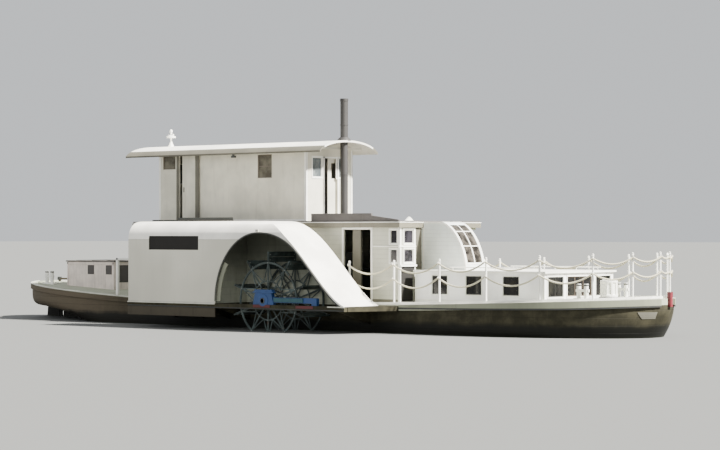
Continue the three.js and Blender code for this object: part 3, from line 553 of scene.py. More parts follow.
def halfBreadth(x):
    # Half-breadth of the deck's edge: constant amidships, a power of a parabola at each end
    fore = partWay(x, hull["midFore"], hull["stem"]) ** plan["foreCurve"]
    aft = partWay(x, hull["midAft"], hull["stern"]) ** plan["aftCurve"]
    return hull["half"] * (1 - fore) ** plan["foreFull"] * (1 - aft) ** plan["aftFull"]


def sheer(x):
    # Deck at side: level amidships, rising by a power of the distance towards each end
    fore = partWay(x, rise["fromFore"], hull["stem"]) ** rise["power"]
    aft = partWay(x, rise["fromAft"], hull["stern"]) ** rise["power"]
    return hull["deck"] + rise["fore"] * fore + rise["aft"] * aft


def bottom(x):
    # Underside of the planking: a late rise at the forefoot, a run that levels out under the counter
    fore = partWay(x, under["fromFore"], hull["stem"]) ** under["forePower"]
    aft = 1 - (1 - partWay(x, under["fromAft"], hull["stern"])) ** under["aftPower"]
    return hull["keel"] + under["fore"] * fore + under["aft"] * aft


def fullness(x):
    fore, aft = partWay(x, fineness["fromFore"], hull["stem"]), partWay(x, fineness["fromAft"], hull["stern"])
    return fineness["mid"] - fineness["fore"] * fore - fineness["aft"] * aft


def sideAt(x, z):
    # Half-breadth of the planking at a height: the section is a superellipse from keel to deck
    top = sheer(x) - hull["thick"]
    low = np.minimum(bottom(x), top - hull["shallow"])
    power = 2 / fullness(x)
    part = np.clip((top - z) / (top - low), 0, 1) ** (1 / power)
    return np.maximum(halfBreadth(x) - hull["inset"], hull["thin"]) * np.sqrt(1 - part ** 2) ** power


def edgeNormal(x, step=0.02):
    slope = (halfBreadth(x + step) - halfBreadth(x - step)) / (2 * step)
    length = np.hypot(slope, 1)
    return np.stack([-slope / length, 1 / length], -1)


def edgePath(xs, inset, lift):
    # Points along the starboard edge of the deck, moved in square to it by the inset and lifted
    xs = np.asarray(xs, float)
    out = edgeNormal(xs)
    path = np.stack([xs - out[:, 0] * inset, out[:, 1] * inset - halfBreadth(xs), sheer(xs) + lift], -1)
    return path, np.stack([out[:, 0], -out[:, 1], np.zeros(len(xs))], -1)


# Rope rails

postLine = dict(stations=(1.94, 3.69, 5.42, 7.125, 8.825, 10.255, 11.155, 11.64), inset=0.11, height=1.27,
                stemX=11.61, stemHeight=1.25, offset=0.06, below=0.06)
ropes = dict(radius=0.025, sides=12, layLength=0.16, perSpan=12, bend=80)
ropeRails = {"upper": dict(drop=0.0, sag=0.16), "lower": dict(drop=0.43, sag=0.17)}


def ropeRoute(drop, sag):
    # From post to post, each span a parabola that hangs by its sag times its length
    xs = np.array(postLine["stations"])
    path, across = edgePath(xs, postLine["inset"], postLine["height"] - postLine["below"] - drop)
    stops = path + across * postLine["offset"]
    stemLevel = sheer(postLine["stemX"]) + postLine["stemHeight"] - postLine["below"] - drop
    bow = [[postLine["stemX"] + postLine["offset"], 0, stemLevel]]
    stops = np.concatenate([stops, bow, stops[::-1] * (1, -1, 1)])
    t = np.linspace(0, 1, ropes["perSpan"], endpoint=False)[:, None]
    spans = []
    for start, end in zip(stops[:-1], stops[1:]):
        length = math.hypot(*(end - start)[:2])
        span = start + (end - start) * t
        span[:, 2:] -= 4 * sag * length * t * (1 - t)
        spans.append(span)
    return np.concatenate([*spans, stops[-1:]])


def makeRopes():
    for name, rope in ropeRails.items():
        path = ropeRoute(rope["drop"], rope["sag"])
        steps = np.linalg.norm(np.diff(path, axis=0), axis=1)
        made = Piece(name + "RopeRail").add(tubed(path, ropes["radius"], ropes["sides"]))
        piece = made.make("ropeLay", slot="rope", smooth=ropes["bend"], replace=(name + "_rope_rail",))
        ropeMap(piece.data, np.concatenate([[0], np.cumsum(steps)]) / ropes["layLength"])


def ropeMap(mesh, along):
    # UV of a tube: lay lengths along it and turns round it, with the closing face carried on past one turn
    sides = ropes["sides"]
    loops = np.empty(len(mesh.loops), int)
    mesh.loops.foreach_get("vertex_index", loops)
    u, v = along[loops // sides], (loops % sides) / sides
    starts = np.empty(len(mesh.polygons), int)
    totals = np.empty(len(mesh.polygons), int)
    mesh.polygons.foreach_get("loop_start", starts)
    mesh.polygons.foreach_get("loop_total", totals)
    owner = np.repeat(np.arange(len(starts)), totals)
    highest = np.maximum.reduceat(v, starts)[owner]
    v = np.where((highest > 0.7) & (v < 0.01), 1.0, v)
    layer = mesh.uv_layers.new(name="lay")
    layer.data.foreach_set("uv", np.stack([u, v], -1).astype(np.float32).ravel())


# Finishes on the frame's own pieces

nodeFinishes = {
    "hullPaint": ("hull", "rudder", "starboard_guard", "port_guard", "starboard_guard_beam",
                  "port_guard_beam"),
    "edgeSage": ("main_deck",),
    "signalRed": ("stem_head",),
    "bearingBlue": ("starboard_shaft_bearing", "port_shaft_bearing"),
    "shaftSteel": ("paddle_shaft",),
    "houseBoards": ("deckhouse_walls",),
    "slabGrey": ("upper_deck",),
    "cabinWhite": ("fore_cabin_walls",),
    "roofWhite": ("fore_cabin_roof",),
    "hoodBlue": ("companion_hood",),
    "wallWhite": ("wheelhouse_walls", "starboard_wheelhouse_door", "port_wheelhouse_door",
                  "wheelhouse_front_door"),
    "funnelGrey": ("funnel",),
    "varnish": ("helm_pedestal", "helm_wheel"),
    "oldCream": ("aft_locker", "aft_locker_lid"),
    "blackIron": ("boiler", "engine", "capstan_bed"),
    "trimWhite": ("roof_vent", "capstan_barrel", "starboard_fore_bitts", "port_fore_bitts",
                  "starboard_aft_bitts", "port_aft_bitts", "starboard_rail", "port_rail", "stem_post"),
    "ropeLay": ("upper_rope_rail", "lower_rope_rail"),
}


def dressNodes():
    for finish, names in nodeFinishes.items():
        for name in names:
            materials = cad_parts[name].data.materials
            materials.clear()
            materials.append(finishes[finish])


# Hull shell

shell = dict(stations=((-14.97, -14.0, 20), (-13.9, 9, 60), (9.1, 11.675, 34)), points=26, gap=0.0003)
keelBar = (-9.4, 9.6, -0.06, 0.06, -0.84, -0.66)
skeg = dict(fore=-8.8, foreTop=-0.64, toe=-8.9, low=-0.84, heel=-14.48, heelTop=-0.775, half=0.05, bury=0.06,
            stations=(-13.89, -12.8, -11.8, -11.0, -10.3, -9.7, -9.2))


def makeHullShell():
    # Stations along the boat by points round each section: y = half * sin^p, z = top - depth * cos^p
    xs = np.concatenate([np.linspace(*stretch) for stretch in shell["stations"]])
    angle = np.linspace(0, math.pi / 2, shell["points"])[1:]
    half = np.maximum(halfBreadth(xs) - hull["inset"], hull["thin"])[:, None]
    top = (sheer(xs) - hull["thick"] - shell["gap"])[:, None]
    low = np.minimum(bottom(xs)[:, None], top - hull["shallow"])
    power = (2 / fullness(xs))[:, None]
    y, z = half * np.sin(angle) ** power, top - (top - low) * np.maximum(np.cos(angle), 0) ** power
    ys = np.concatenate([-y[:, ::-1], np.zeros_like(half), y], 1)
    zs = np.concatenate([z[:, ::-1], low, z], 1)
    points = np.stack([np.repeat(xs[:, None], ys.shape[1], 1), ys, zs], -1)
    made = Piece("hullShell").add((points.reshape(-1, 3), tubeFaces(len(xs), ys.shape[1])))
    made.add(boards(keelBar))
    outline = [(skeg["fore"], skeg["foreTop"]), (skeg["toe"], skeg["low"]), (skeg["heel"], skeg["low"]),
               (skeg["heel"], skeg["heelTop"]), (skeg["stations"][0], skeg["heelTop"])]
    outline += [(x, float(bottom(x)) + skeg["bury"]) for x in skeg["stations"]]
    made.add(slab(outline, 1, -skeg["half"], skeg["half"]))
    made.make("hullPaint", slot="hull_paint", smooth=35, replace=("hull",))
    print("hull shell made")


# Smooth copies of the frame's own pieces

broadFace = dict(upright=0.99, area=0.2)  # side walls larger than this stay flat


def smoothCopy(name, materials, choose, angle):
    # The frame's mesh with its doubled corners merged; choose picks a material number from a face's place
    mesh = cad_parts[name].data.copy()
    mesh.name = name + "Smooth"
    mesh.transform(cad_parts[name].matrix_world)
    work = bmesh.new()
    work.from_mesh(mesh)
    bmesh.ops.remove_doubles(work, verts=work.verts, dist=1e-5)
    work.to_mesh(mesh)
    work.free()
    mesh.materials.clear()
    for material in materials:
        mesh.materials.append(finishes[material])
    centre = np.array([face.center[:] for face in mesh.polygons])
    normal = np.array([face.normal[:] for face in mesh.polygons])
    area = np.array([face.area for face in mesh.polygons])
    mesh.polygons.foreach_set("material_index", choose(centre, normal).astype(np.int32))
    if "custom_normal" in mesh.attributes:  # the frame's own normals no longer fit the merged corners
        mesh.attributes.remove(mesh.attributes["custom_normal"])
    mesh.shade_smooth()
    broad = (np.abs(normal[:, 1]) > broadFace["upright"]) & (area > broadFace["area"])
    mesh.polygons.foreach_set("use_smooth", np.logical_not(broad))
    mesh.set_sharp_from_angle(angle=math.radians(angle))
    piece = bpy.data.objects.new(mesh.name, mesh)
    scene.collection.objects.link(piece)
    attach(piece, "hull")
    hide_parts(name)


# Paddle boxes

box = dict(aft=-5.9, outer=4.5, inner=2.9, top=3.39, wide=0.5, tall=0.57, shoulder=2.83, toe=2.6, foot=0.8)
boxCurve = ((3.25, 0.83), (2.2, 1.25), (1.13, 3.39), (-0.3, 3.39))
arch = dict(aft=-2.04, crown=-0.2, top=3.04, spring=0.9, edge=0.062, joinBelow=2.48, levelTo=0.3,
            lead=(-0.5, 0.48))
rim = dict(inset=-0.012, width=0.042, span=(-4.509, -4.497))
jamb = dict(inset=0.03, width=0.15, span=(-4.44, -4.40), aftOf=-1.35, below=2.2)
boxLaps = [
    (-5.9, -4.96, -4.505, -4.498, 2.812, 2.826),  # under the shoulder, aft of the window
    (-2.76, -0.95, -4.505, -4.498, 2.812, 2.826),  # the same, forward of it
    (-5.9, -2.1, -4.506, -4.498, 0.832, 0.86),  # at the foot
]
boxTrim = {  # finish, bevel and the starboard boards
    # a dark block in the box's window slot: painted shade for the box's inside
    "boxSlotShade": ("shadedInside", 0, [(-4.96, -2.76, -4.47, -4.462, 2.49, 2.93)]),
    "guardCap": ("capWhite", 0.006, [
        (-5.93, -2.04, -4.522, -4.5, 0.795, 0.829),  # aft of the wheel
        (2.6, 3.26, -4.522, -4.5, 0.795, 0.829)]),  # under the toe
    "guardSkirt": ("skirtBrown", 0, [(-5.93, -2.04, -4.5, -4.47, 0.4, 0.7)]),
    "guardIron": ("blackIron", 0, [(-5.92, 3.25, -4.512, -4.5, 0.69, 0.72)]),
}
bead = dict(aft=-5.86, fore=-0.3, y=-4.0, z=3.385, radius=0.012, steps=12)
archLug = (-0.3, -0.18, -4.53, -4.5, 3.06, 3.13)


def bezier(corners, steps):
    t = np.linspace(0, 1, steps)[:, None]
    a, b, c, d = np.asarray(corners, float)
    return (1 - t) ** 3 * a + 3 * (1 - t) ** 2 * t * b + 3 * (1 - t) * t ** 2 * c + t ** 3 * d


def boxSkin(x):
    # Height of the box's top: level aft, an S forward
    front = bezier(boxCurve, 60)[::-1]
    return np.interp(x, front[:, 0], front[:, 1])


def boxFaces(centre, normal):
    # 0 on the top, the shoulder and the front, 1 on the upright sides, which get a darker copy of the box's
    # white as painted shade, 2 where a face looks into the box
    probe = centre + normal * 0.03
    x, y, z = probe[:, 0], np.abs(probe[:, 1]), probe[:, 2]
    across = np.clip((y - box["outer"] + box["wide"]) / box["wide"], 0, 1)
    shoulder = box["top"] - box["tall"] + box["tall"] * np.sqrt(1 - across ** 2)
    outside = (x < box["aft"]) | (z > boxSkin(x)) | (z > shoulder) | (y > box["outer"]) | (y < box["inner"])
    wall = (centre[:, 2] < box["shoulder"]) & (np.abs(normal[:, 2]) < 0.05) & (centre[:, 0] < box["toe"])
    return np.where(outside | (z < box["foot"]), np.where(wall, 1, 0), 2)


def archPath():
    # The open side's edge from its aft foot: a quarter ellipse, a blend, then the S moved in
    turnBack = np.linspace(math.pi, math.pi / 2, 24)
    centre, low = arch["crown"], arch["spring"]
    quarter = np.stack([centre + (centre - arch["aft"]) * np.cos(turnBack),
                        low + (arch["top"] - low) * np.sin(turnBack)], -1)
    front = bezier(boxCurve, 60)
    way = unit(np.gradient(front, axis=0))
    moved = front + np.stack([-way[:, 1], way[:, 0]], -1) * arch["edge"]
    moved = moved[moved[:, 1] < arch["joinBelow"]][::-1]
    corners = ((centre, arch["top"]), (arch["levelTo"], arch["top"]), moved[0] + arch["lead"], moved[0])
    joined = bezier(corners, 16)
    return np.concatenate([quarter, joined[1:-1], moved])


def makeBoxes():
    for side in ("starboard", "port"):
        smoothCopy(side + "_paddle_box", ["boxWhite", "boxShadedSide", "boxLining"], boxFaces, 35)
    edge = archPath()
    surface = ribbon(edge, rim["inset"], rim["width"], *rim["span"])
    Piece("archRim").add(surface).mirror().make("outlineGrey")
    foot = edge[(edge[:, 0] < jamb["aftOf"]) & (edge[:, 1] < jamb["below"])]
    surface = ribbon(foot, jamb["inset"], jamb["width"], *jamb["span"])
    Piece("archJamb").add(surface).mirror().make("jambGrey")
    boardPiece("boxLaps", "lapGrey", boxLaps)
    steps = bead["steps"]
    line = np.stack([np.linspace(bead["aft"], bead["fore"], steps), np.full(steps, bead["y"]),
                     np.full(steps, bead["z"])], -1)
    beads = Piece("boxBeads").add(tubed(line, bead["radius"], 8)).add(boards(archLug))
    beads.mirror().make("lapGrey", smooth=40)
    for name, (finish, bevel, rows) in boxTrim.items():
        boardPiece(name, finish, rows, bevel=bevel)
    print("paddle boxes dressed")


# Windows

glazing = dict(casing=(-0.016, 0.004), sash=(0.012, 0.044), glass=(0.026, 0.032), bar=(0.016, 0.04),
               stile=0.03, barHalf=0.011)  # depths into the wall, then widths


def glaze(kit, axis, face, inward, opening, bars=(0, 0), width=0.04):
    # Casing proud of the wall, a sash in the opening with its bars, and a pane behind it
    def depths(part):
        return [face + inward * depth for depth in glazing[part]]

    start, stop, low, high = opening
    kit["casing"].add(framed(axis, *depths("casing"), *opening, width))
    stile, half = glazing["stile"], glazing["barHalf"]
    sash = (start + stile, stop - stile, low + stile, high - stile)
    kit["sash"].add(framed(axis, *depths("sash"), *sash, stile))
    kit["glass"].add(boards(onWall(axis, *depths("glass"), *sash)))
    for at in np.linspace(start, stop, bars[0] + 2)[1:-1]:
        kit["sash"].add(boards(onWall(axis, *depths("bar"), at - half, at + half, low, high)))
    for at in np.linspace(low, high, bars[1] + 2)[1:-1]:
        kit["sash"].add(boards(onWall(axis, *depths("bar"), start, stop, at - half, at + half)))


def windowKit(name):
    return {part: Piece(name + part.title()) for part in ("casing", "sash", "glass")}


def finishKit(kit, glass, casing="trimWhite", sash="trimWhite", mirrored=True):
    for part, material in (("casing", casing), ("sash", sash), ("glass", glass)):
        if mirrored:
            kit[part].mirror()
        kit[part].make(material)


# Deckhouse

house = dict(side=-2.25, fore=3.56, casing=0.07,
             gangway=(1, -2.266, -2.248, 1.33, 2.42, 0.87, 3.13),  # axis, depth of the casing, opening
             aftDoor=(0, -7.815, -7.79, -0.38, 0.38, 0.95, 2.85))
bay = dict(sideSpan=(3.17, 3.46), foreSpan=(-2.06, -1.57), rows=((2.11, 2.54), (2.69, 3.13)),
           peak=((-2.1, 3.345), (-1.58, 3.345), (-1.84, 3.52)), peakDepth=(3.56, 3.62))
bayTrim = [
    (3.5, 3.572, -2.262, -2.246, 0.87, 3.19),  # corner board on the side
    (3.556, 3.574, -2.262, -2.19, 0.9, 3.19),  # corner board on the front
    (3.556, 3.574, -1.54, -1.5, 0.9, 3.19),  # board at the inner edge
    (2.49, 3.55, -2.268, -2.25, 2.6, 2.63),  # rail along the side
    (3.55, 3.59, -2.3, -1.5, 2.59, 2.64),  # ledge between the windows
    (3.55, 3.61, -2.27, -1.48, 2.0, 2.06),  # sill
]
houseCorners = dict(aft=(-7.81, -7.73, -2.262, -2.246, 0.9, 3.19),
                    port=[(2.54, 2.61, 2.246, 2.262, 0.9, 3.19), (2.596, 2.614, 2.2, 2.262, 0.9, 3.19)])
# a dark panel with its frame and head in the low opening under the bay: painted shade
shadedOpening = dict(panel=(3.5, 3.53, -2.18, -1.58, 0.95, 1.84), head=(3.56, 3.57, -2.2, -1.56, 1.86, 2.0),
             frame=(0, 3.56, 3.575, -2.18, -1.58, 0.93, 1.86, 0.035))
boiler = dict(bands=(-4.2, -3.2, -2.2, -1.2), wide=0.06, section=(-0.65, 0.65, 0.9, 2.4), thick=0.012)


def makeHouse():
    kit = windowKit("bay")
    for row in bay["rows"]:
        glaze(kit, 1, house["side"], 1, (*bay["sideSpan"], *row), width=0.03)
        glaze(kit, 0, house["fore"], -1, (*bay["foreSpan"], *row), width=0.035)
    finishKit(kit, "bayGlass", mirrored=False)
    boardPiece("bayTrim", "trimWhite", bayTrim, False, bevel=0.004)
    trim = Piece("houseTrim").add(boards(houseCorners["aft"]))
    trim.add(framed(*house["gangway"], house["casing"])).mirror()
    trim.add(boards(houseCorners["port"])).make("trimWhite", bevel=0.004)
    makeUpperDeck()
    Piece("bayPeak").add(slab(bay["peak"], 0, *bay["peakDepth"])).make("trimWhite")
    boardPiece("houseFoot", "greyPaintAndShade", [
        (2.1, 3.5, -2.262, -2.25, 0.87, 1.0),  # dark foot of the side wall by the bay
        (3.0, 3.012, -1.48, -0.5, 1.9, 3.18)], False)  # shaded wall in the recess
    seams = [(x, x + canvas["wide"], *canvas["limits"]) for x in np.linspace(*canvas["seams"])]
    boardPiece("canvasSeams", "seamGrey", seams, False)
    # the post inside the gangway, grey as painted shade
    boardPiece("gangwayShadedPost", "greyPaintAndShade", [(1.63, 1.95, -2.18, -2.1, 0.87, 3.12)])
    door = Piece("bayShadedOpening").add(boards(shadedOpening["panel"])).add(framed(*shadedOpening["frame"]))
    door.add(boards(shadedOpening["head"])).make("shadedInside")
    boardPiece("aftPost", "trimWhite", [
        (-8.43, -8.35, -2.64, -2.56, 0.85, 2.18),  # post at the deck's edge
        (-8.43, -7.8, -2.64, -2.58, 2.12, 2.18)])  # rail from it to the house
    Piece("aftDoorFrame").add(framed(*house["aftDoor"], house["casing"])).make("trimWhite")
    bands = Piece("boilerBands")
    for x in boiler["bands"]:
        bands.add(framed(0, x, x + boiler["wide"], *boiler["section"], boiler["thick"]))
    bands.make("shaftSteel")
    print("deckhouse dressed")


# Upper deck

upperDeck = dict(fascia=(3.19, 3.345), lip=(3.342, 3.362), lipProud=0.008, beams=(1.1, 1.6, 2.15))
canvas = dict(seams=(-7.4, 2.4, 15), wide=0.035, limits=(-2.3, 2.3, 3.4, 3.404))  # on the upper deck
deckSides = [  # limits of the fascia boards along X and Y
    (-7.92, 3.64, -2.368, -2.35),  # starboard
    (3.62, 3.638, -2.35, -1.4),  # over the bay
    (3.06, 3.078, -1.4, 0.9),  # over the recess
    (3.16, 3.178, 0.9, 2.368),  # port front
    (-7.92, 3.16, 2.35, 2.368),  # port
    (-7.92, -7.9, -2.35, 2.35),  # aft
]
toeBoard = (0.05, 2.5, -2.335, -2.265, 3.555, 3.63)
toeRail = [(-5.8, -3.3, -2.33, -2.28, 3.4, 3.53), (-7.0, -5.8, -2.33, -2.29, 3.4, 3.46)]


def makeUpperDeck():
    fascia = [(*side, *upperDeck["fascia"]) for side in deckSides]
    boardPiece("deckFascia", "fasciaShade", fascia, False, bevel=0.006)
    grown = np.array(deckSides) + upperDeck["lipProud"] * np.array([-1, 1, -1, 1])
    boardPiece("fasciaLine", "trimWhite", [(*side, *upperDeck["lip"]) for side in grown], False)
    beams = [(2.66, 3.1, y, y + 0.05, 3.12, 3.2) for y in upperDeck["beams"]]
    boardPiece("deckBeams", "edgeSage", beams, False)
    boardPiece("toeBoardCap", "slabGrey", toeBoard, False, bevel=0.004)
    boardPiece("toeRail", "outlineGrey", toeRail)


# Main deck and its edge

deckLines = dict(pitch=0.15, joint=0.008, lift=0.006, edge=0.16, reach=2.55, thick=0.012, stations=150)
camber = dict(full=1.5, strip=0.5, part=0.75, narrow=0.06)
deckEdge = dict(aft=(-14.93, -5.93), fore=(3.96, 11.62), stations=90, proud=0.022, wale=(0.03, 0.19),
                bandTop=0.005, bandSpan=(4.0, 9.5), bandDepth=(0.08, 0.19), foreShadowBand=0.05,
                cap=((-0.07, -0.002), (0.014, -0.012), (0.014, 0.012), (-0.07, 0.02)))
bowBoard = dict(x=11.38, half=0.17, low=0.56, tall=0.2, taper=0.4, proud=0.004, thick=0.014, steps=8)


def deckLevelAt(x, y):
    # The deck's camber in four flat strips, as the frame has it
    half = np.maximum(halfBreadth(x), camber["narrow"])
    crown = hull["camber"] * np.minimum(1, halfBreadth(x) / camber["full"])
    part, bend, level = np.abs(y) / half, camber["strip"], camber["part"]
    outer, inner = (1 - part) / (1 - bend) * level, level + (bend - part) / bend * (1 - level)
    return sheer(x) + crown * np.clip(np.where(part > bend, outer, inner), 0, 1)


def makeDeckPlanks():
    planks = Piece("deckPlanks")
    pitch, reach, thick = deckLines["pitch"], deckLines["reach"], deckLines["thick"]
    half = (pitch - deckLines["joint"]) / 2
    plank = [(-half, 0), (half, 0), (half, -thick), (-half, -thick)]
    xs = np.linspace(hull["stern"] + 0.05, hull["stem"] - 0.1, deckLines["stations"])
    for y in np.arange(-reach, reach + 0.01, pitch):
        run = xs[np.abs(y) + pitch / 2 < halfBreadth(xs) - deckLines["edge"]]
        if len(run) < 4:
            continue
        across = np.full(len(run), y)
        path = np.stack([run, across, deckLevelAt(run, across) + deckLines["lift"]], -1)
        planks.add(carried(plank, path, (0, 1, 0), (0, 0, 1)))
    planks.make("deckWood")


def edgeBand(xs, top, low):
    # A plank along the deck's edge between two depths below it, which may change along the boat
    path, across = edgePath(xs, 0, 0)
    top, low = (np.broadcast_to(depth, len(xs))[:, None] * (0, 0, -1.0) for depth in (top, low))
    out = across * deckEdge["proud"]
    rows = np.stack([path + low, path + low + out, path + top + out, path + top], 1)
    return rows.reshape(-1, 3), tubeFaces(len(xs), 4)


def makeDeckEdge():
    # Aft a dark wale, forward a sage band over a black strip of painted shadow, and a white cap on the deck's
    # edge
    aft, fore = (np.linspace(*deckEdge[end], deckEdge["stations"]) for end in ("aft", "fore"))
    depth = np.interp(fore, deckEdge["bandSpan"], deckEdge["bandDepth"])
    bands = {"deckWale": ("hullPaint", aft, *deckEdge["wale"]),
             "foreBand": ("bandSage", fore, deckEdge["bandTop"], depth),
             # the black strip under the sage band is painted shadow
             "foreShadowBand": ("blackIron", fore, depth, depth + deckEdge["foreShadowBand"])}
    for name, (finish, xs, top, low) in bands.items():
        Piece(name).add(edgeBand(xs, top, low)).mirror().make(finish, smooth=30)
    cap = Piece("deckCap")
    for xs in (aft, fore):
        cap.add(carried(deckEdge["cap"], *edgePath(xs, 0, 0), (0, 0, 1)))
    cap.mirror().make("capWhite", smooth=30)
    makeBowBoard()
    print("deck edge made")


def makeBowBoard():
    # A blank board that lies on the planking's curve, shorter at its foot
    steps = bowBoard["steps"]
    rows = []
    for part in (0, 0.33, 0.66, 1):
        half = bowBoard["half"] * (1 - bowBoard["taper"] * (1 - part))
        x = bowBoard["x"] + np.linspace(-half, half, steps)
        z = np.full(steps, bowBoard["low"] + bowBoard["tall"] * part)
        rows.append(np.stack([x, -(sideAt(x, z) + bowBoard["proud"]), z], -1))
    front = np.stack(rows, 1)
    back = front - (0, bowBoard["thick"], 0)
    points = np.concatenate([front, back[:, ::-1]], 1)
    board = Piece("bowBoard").add((points.reshape(-1, 3), tubeFaces(steps, points.shape[1])))
    board.mirror().make("greyPaintAndShade")


# Fore cabin and hood

cabin = dict(side=-1.8, fore=8.58, ports=(4.745, 6.02, 7.39), portHalf=0.29, portSpan=(1.18, 1.74),
             cornerWindow=(-1.64, -0.85, 1.15, 1.74), middleWindow=(-0.65, 0.65, 1.15, 1.74))
cabinTrim = [
    (3.77, 8.66, -1.872, -1.86, 1.845, 1.9),  # roof's edge at the side
    (8.64, 8.655, -1.86, 0.0, 1.845, 1.9),  # roof's edge forward
    (3.8, 3.86, -1.806, -1.8, 0.9, 1.85),  # aft corner
    (8.52, 8.586, -1.806, -1.796, 1.0, 1.85),  # fore corner
    (3.82, 8.57, -1.812, -1.8, 0.93, 1.02),  # foot
]
grabRail = dict(y=-1.55, z=1.99, foot=1.885, span=(4.95, 8.3, 12), stays=(5.05, 8.2, 5), radius=0.016,
                stayRadius=0.013)
hood = dict(fore=4.73, top=3.37, brow=1.9503, reach=0.97, power=1.18, rim=(-0.486, -0.466), glassFoot=2.1,
            barFoot=2.08, glassAft=3.86, glassIn=0.03, glassThick=0.008, bars=(-0.4, 0.0, 0.4), barHalf=0.014,
            barThick=0.035, rungs=(0, 16, 31), rungHalf=0.012, rungDepth=(-0.03, 0.008), topEdge=3.372,
            topSpan=(3.01, 3.4, 3.76))
hoodEdges = [(3.05, 3.1, -0.478, -0.47, 1.9, 3.3), (4.66, 4.74, -0.48, -0.47, 1.9, 1.97)]


def hoodCurve(steps, inset=0.0):
    # From the brow up to the level top: a superellipse's quarter, as (x, z), moved in by the inset
    angle = np.linspace(0, math.pi / 2, steps)
    power, reach = hood["power"], hood["reach"]
    x = hood["fore"] - reach + (reach - inset) * np.cos(angle).clip(0) ** power
    z = hood["brow"] + (hood["top"] - hood["brow"] - inset) * np.sin(angle) ** power
    return np.stack([x, z], -1)


def makeForeCabin():
    kit = windowKit("cabin")
    for x in cabin["ports"]:
        opening = (x - cabin["portHalf"], x + cabin["portHalf"], *cabin["portSpan"])
        glaze(kit, 1, cabin["side"], 1, opening, width=0.03)
    glaze(kit, 0, cabin["fore"], -1, cabin["cornerWindow"], (1, 0))
    finishKit(kit, "blackGlass", sash="blackIron")
    kit = windowKit("cabinFore")
    glaze(kit, 0, cabin["fore"], -1, cabin["middleWindow"], (2, 0))
    finishKit(kit, "blackGlass", sash="sashBrown", mirrored=False)
    boardPiece("cabinTrim", "trimWhite", cabinTrim, bevel=0.005)
    y, z = grabRail["y"], grabRail["z"]
    rail = Piece("cabinGrabRail")
    rail.add(tubed([(x, y, z) for x in np.linspace(*grabRail["span"])], grabRail["radius"], 8))
    for x in np.linspace(*grabRail["stays"]):
        rail.add(tubed([(x, y, grabRail["foot"]), (x, y, z)], grabRail["stayRadius"], 8))
    rail.mirror().make("trimWhite", smooth=40)
    makeHood()
    print("fore cabin dressed")


def makeHood():
    rims = Piece("hoodRims").add(ribbon(hoodCurve(30)[::-1], -0.004, 0.055, *hood["rim"]))
    level = np.array([(x, hood["topEdge"]) for x in hood["topSpan"]])
    rims.add(ribbon(level, 0.0, 0.05, *hood["rim"]))
    rims.add(boards(hoodEdges)).mirror().make("trimWhite")
    sheet = hoodCurve(60, hood["glassIn"])
    sheet = sheet[(sheet[:, 1] > hood["glassFoot"]) & (sheet[:, 0] > hood["glassAft"])]
    first, *_, last = hood["bars"]
    Piece("hoodGlass").add(strip(sheet, first, last, hood["glassThick"])).make("mottledGlass", smooth=40)
    outer = hoodCurve(60)
    outer = outer[(outer[:, 1] > hood["barFoot"]) & (outer[:, 0] > hood["glassAft"])]
    bars = Piece("hoodBars")
    for y in hood["bars"]:
        bars.add(strip(outer, y - hood["barHalf"], y + hood["barHalf"], hood["barThick"]))
    back, front = hood["rungDepth"]
    for x, z in outer[list(hood["rungs"])]:
        bars.add(boards((x + back, x + front, first, last, z - hood["rungHalf"], z + hood["rungHalf"])))
    bars.make("trimWhite")


# Wheelhouse, roof and funnel

wheelhouse = dict(side=-1.15, fore=-1.2, aft=-7.86, sideWindow=(-3.3, -2.67, 4.82, 5.59),
                  aftSideWindow=(-7.67, -7.07, 5.18, 5.64), foreWindows=(-0.6, 0.6), foreHalf=0.24,
                  foreSpan=(4.82, 5.48), aftWindow=(-0.4, 0.4, 4.7, 5.4))
wheelhouseTrim = [
    (-7.872, -7.79, -1.162, -1.148, 3.41, 5.74),  # aft corner on the side
    (-1.26, -1.188, -1.162, -1.148, 3.41, 5.74),  # fore corner on the side
    (-1.2, -1.188, -1.162, -1.08, 3.41, 5.74),  # fore corner on the front
    (-7.872, -7.86, -1.15, -1.08, 3.41, 5.74),  # aft corner on the end
    (-5.6, -1.26, -1.165, -1.15, 3.402, 3.47),  # foot forward of the door
    (-7.8, -7.0, -1.165, -1.15, 3.402, 3.47),  # foot aft of the door
]
# grey strips at the side door's edges: painted shade on the jambs
doorShadeStrips = [(-6.1, -5.93, -1.216, -1.196, 3.405, 5.71), (-7.03, -6.93, -1.172, -1.15, 3.405, 5.64)]
frontDoorFrame = [
    (-1.2, -1.18, -0.3, -0.25, 3.41, 5.5),  # starboard jamb
    (-1.2, -1.18, 0.4, 0.45, 3.41, 5.5),  # port jamb
    (-1.2, -1.18, -0.3, 0.45, 5.45, 5.5),  # head
]
doorPulls = {"doorPulls": ("starboard_door", (-6.66, -6.63, -1.206, -1.19, 4.4, 4.56)),
             "portDoorPulls": ("port_door", (-6.66, -6.63, 1.19, 1.206, 4.4, 4.56))}
eaveLamp = [(-4.26, -4.1, -1.42, -1.34, 5.5, 5.57), (-4.22, -4.14, -1.4, -1.36, 5.54, 5.68)]
roofBeams = dict(span=(-8.9, -0.8, 12), wide=0.05, half=1.08, low=5.74, high=5.79)
roofZones = dict(under=-0.2, eave=1.15)
funnel = dict(at=(-0.57, 0, 0), collar=[(0.14, 6.0), (0.24, 6.01), (0.2, 6.06), (0.14, 6.12)],
              bands=(3.62, 4.9, 6.5, 7.28), bandWide=0.04, bandRadii=(0.124, 0.133))
ventCap = dict(at=(-8.45, 0, 0), knob=[(0, 6.5), (0.05, 6.52), (0.055, 6.57), (0.03, 6.61), (0, 6.62)],
               arm=(-8.56, -8.34, -0.025, 0.025, 6.4, 6.45))


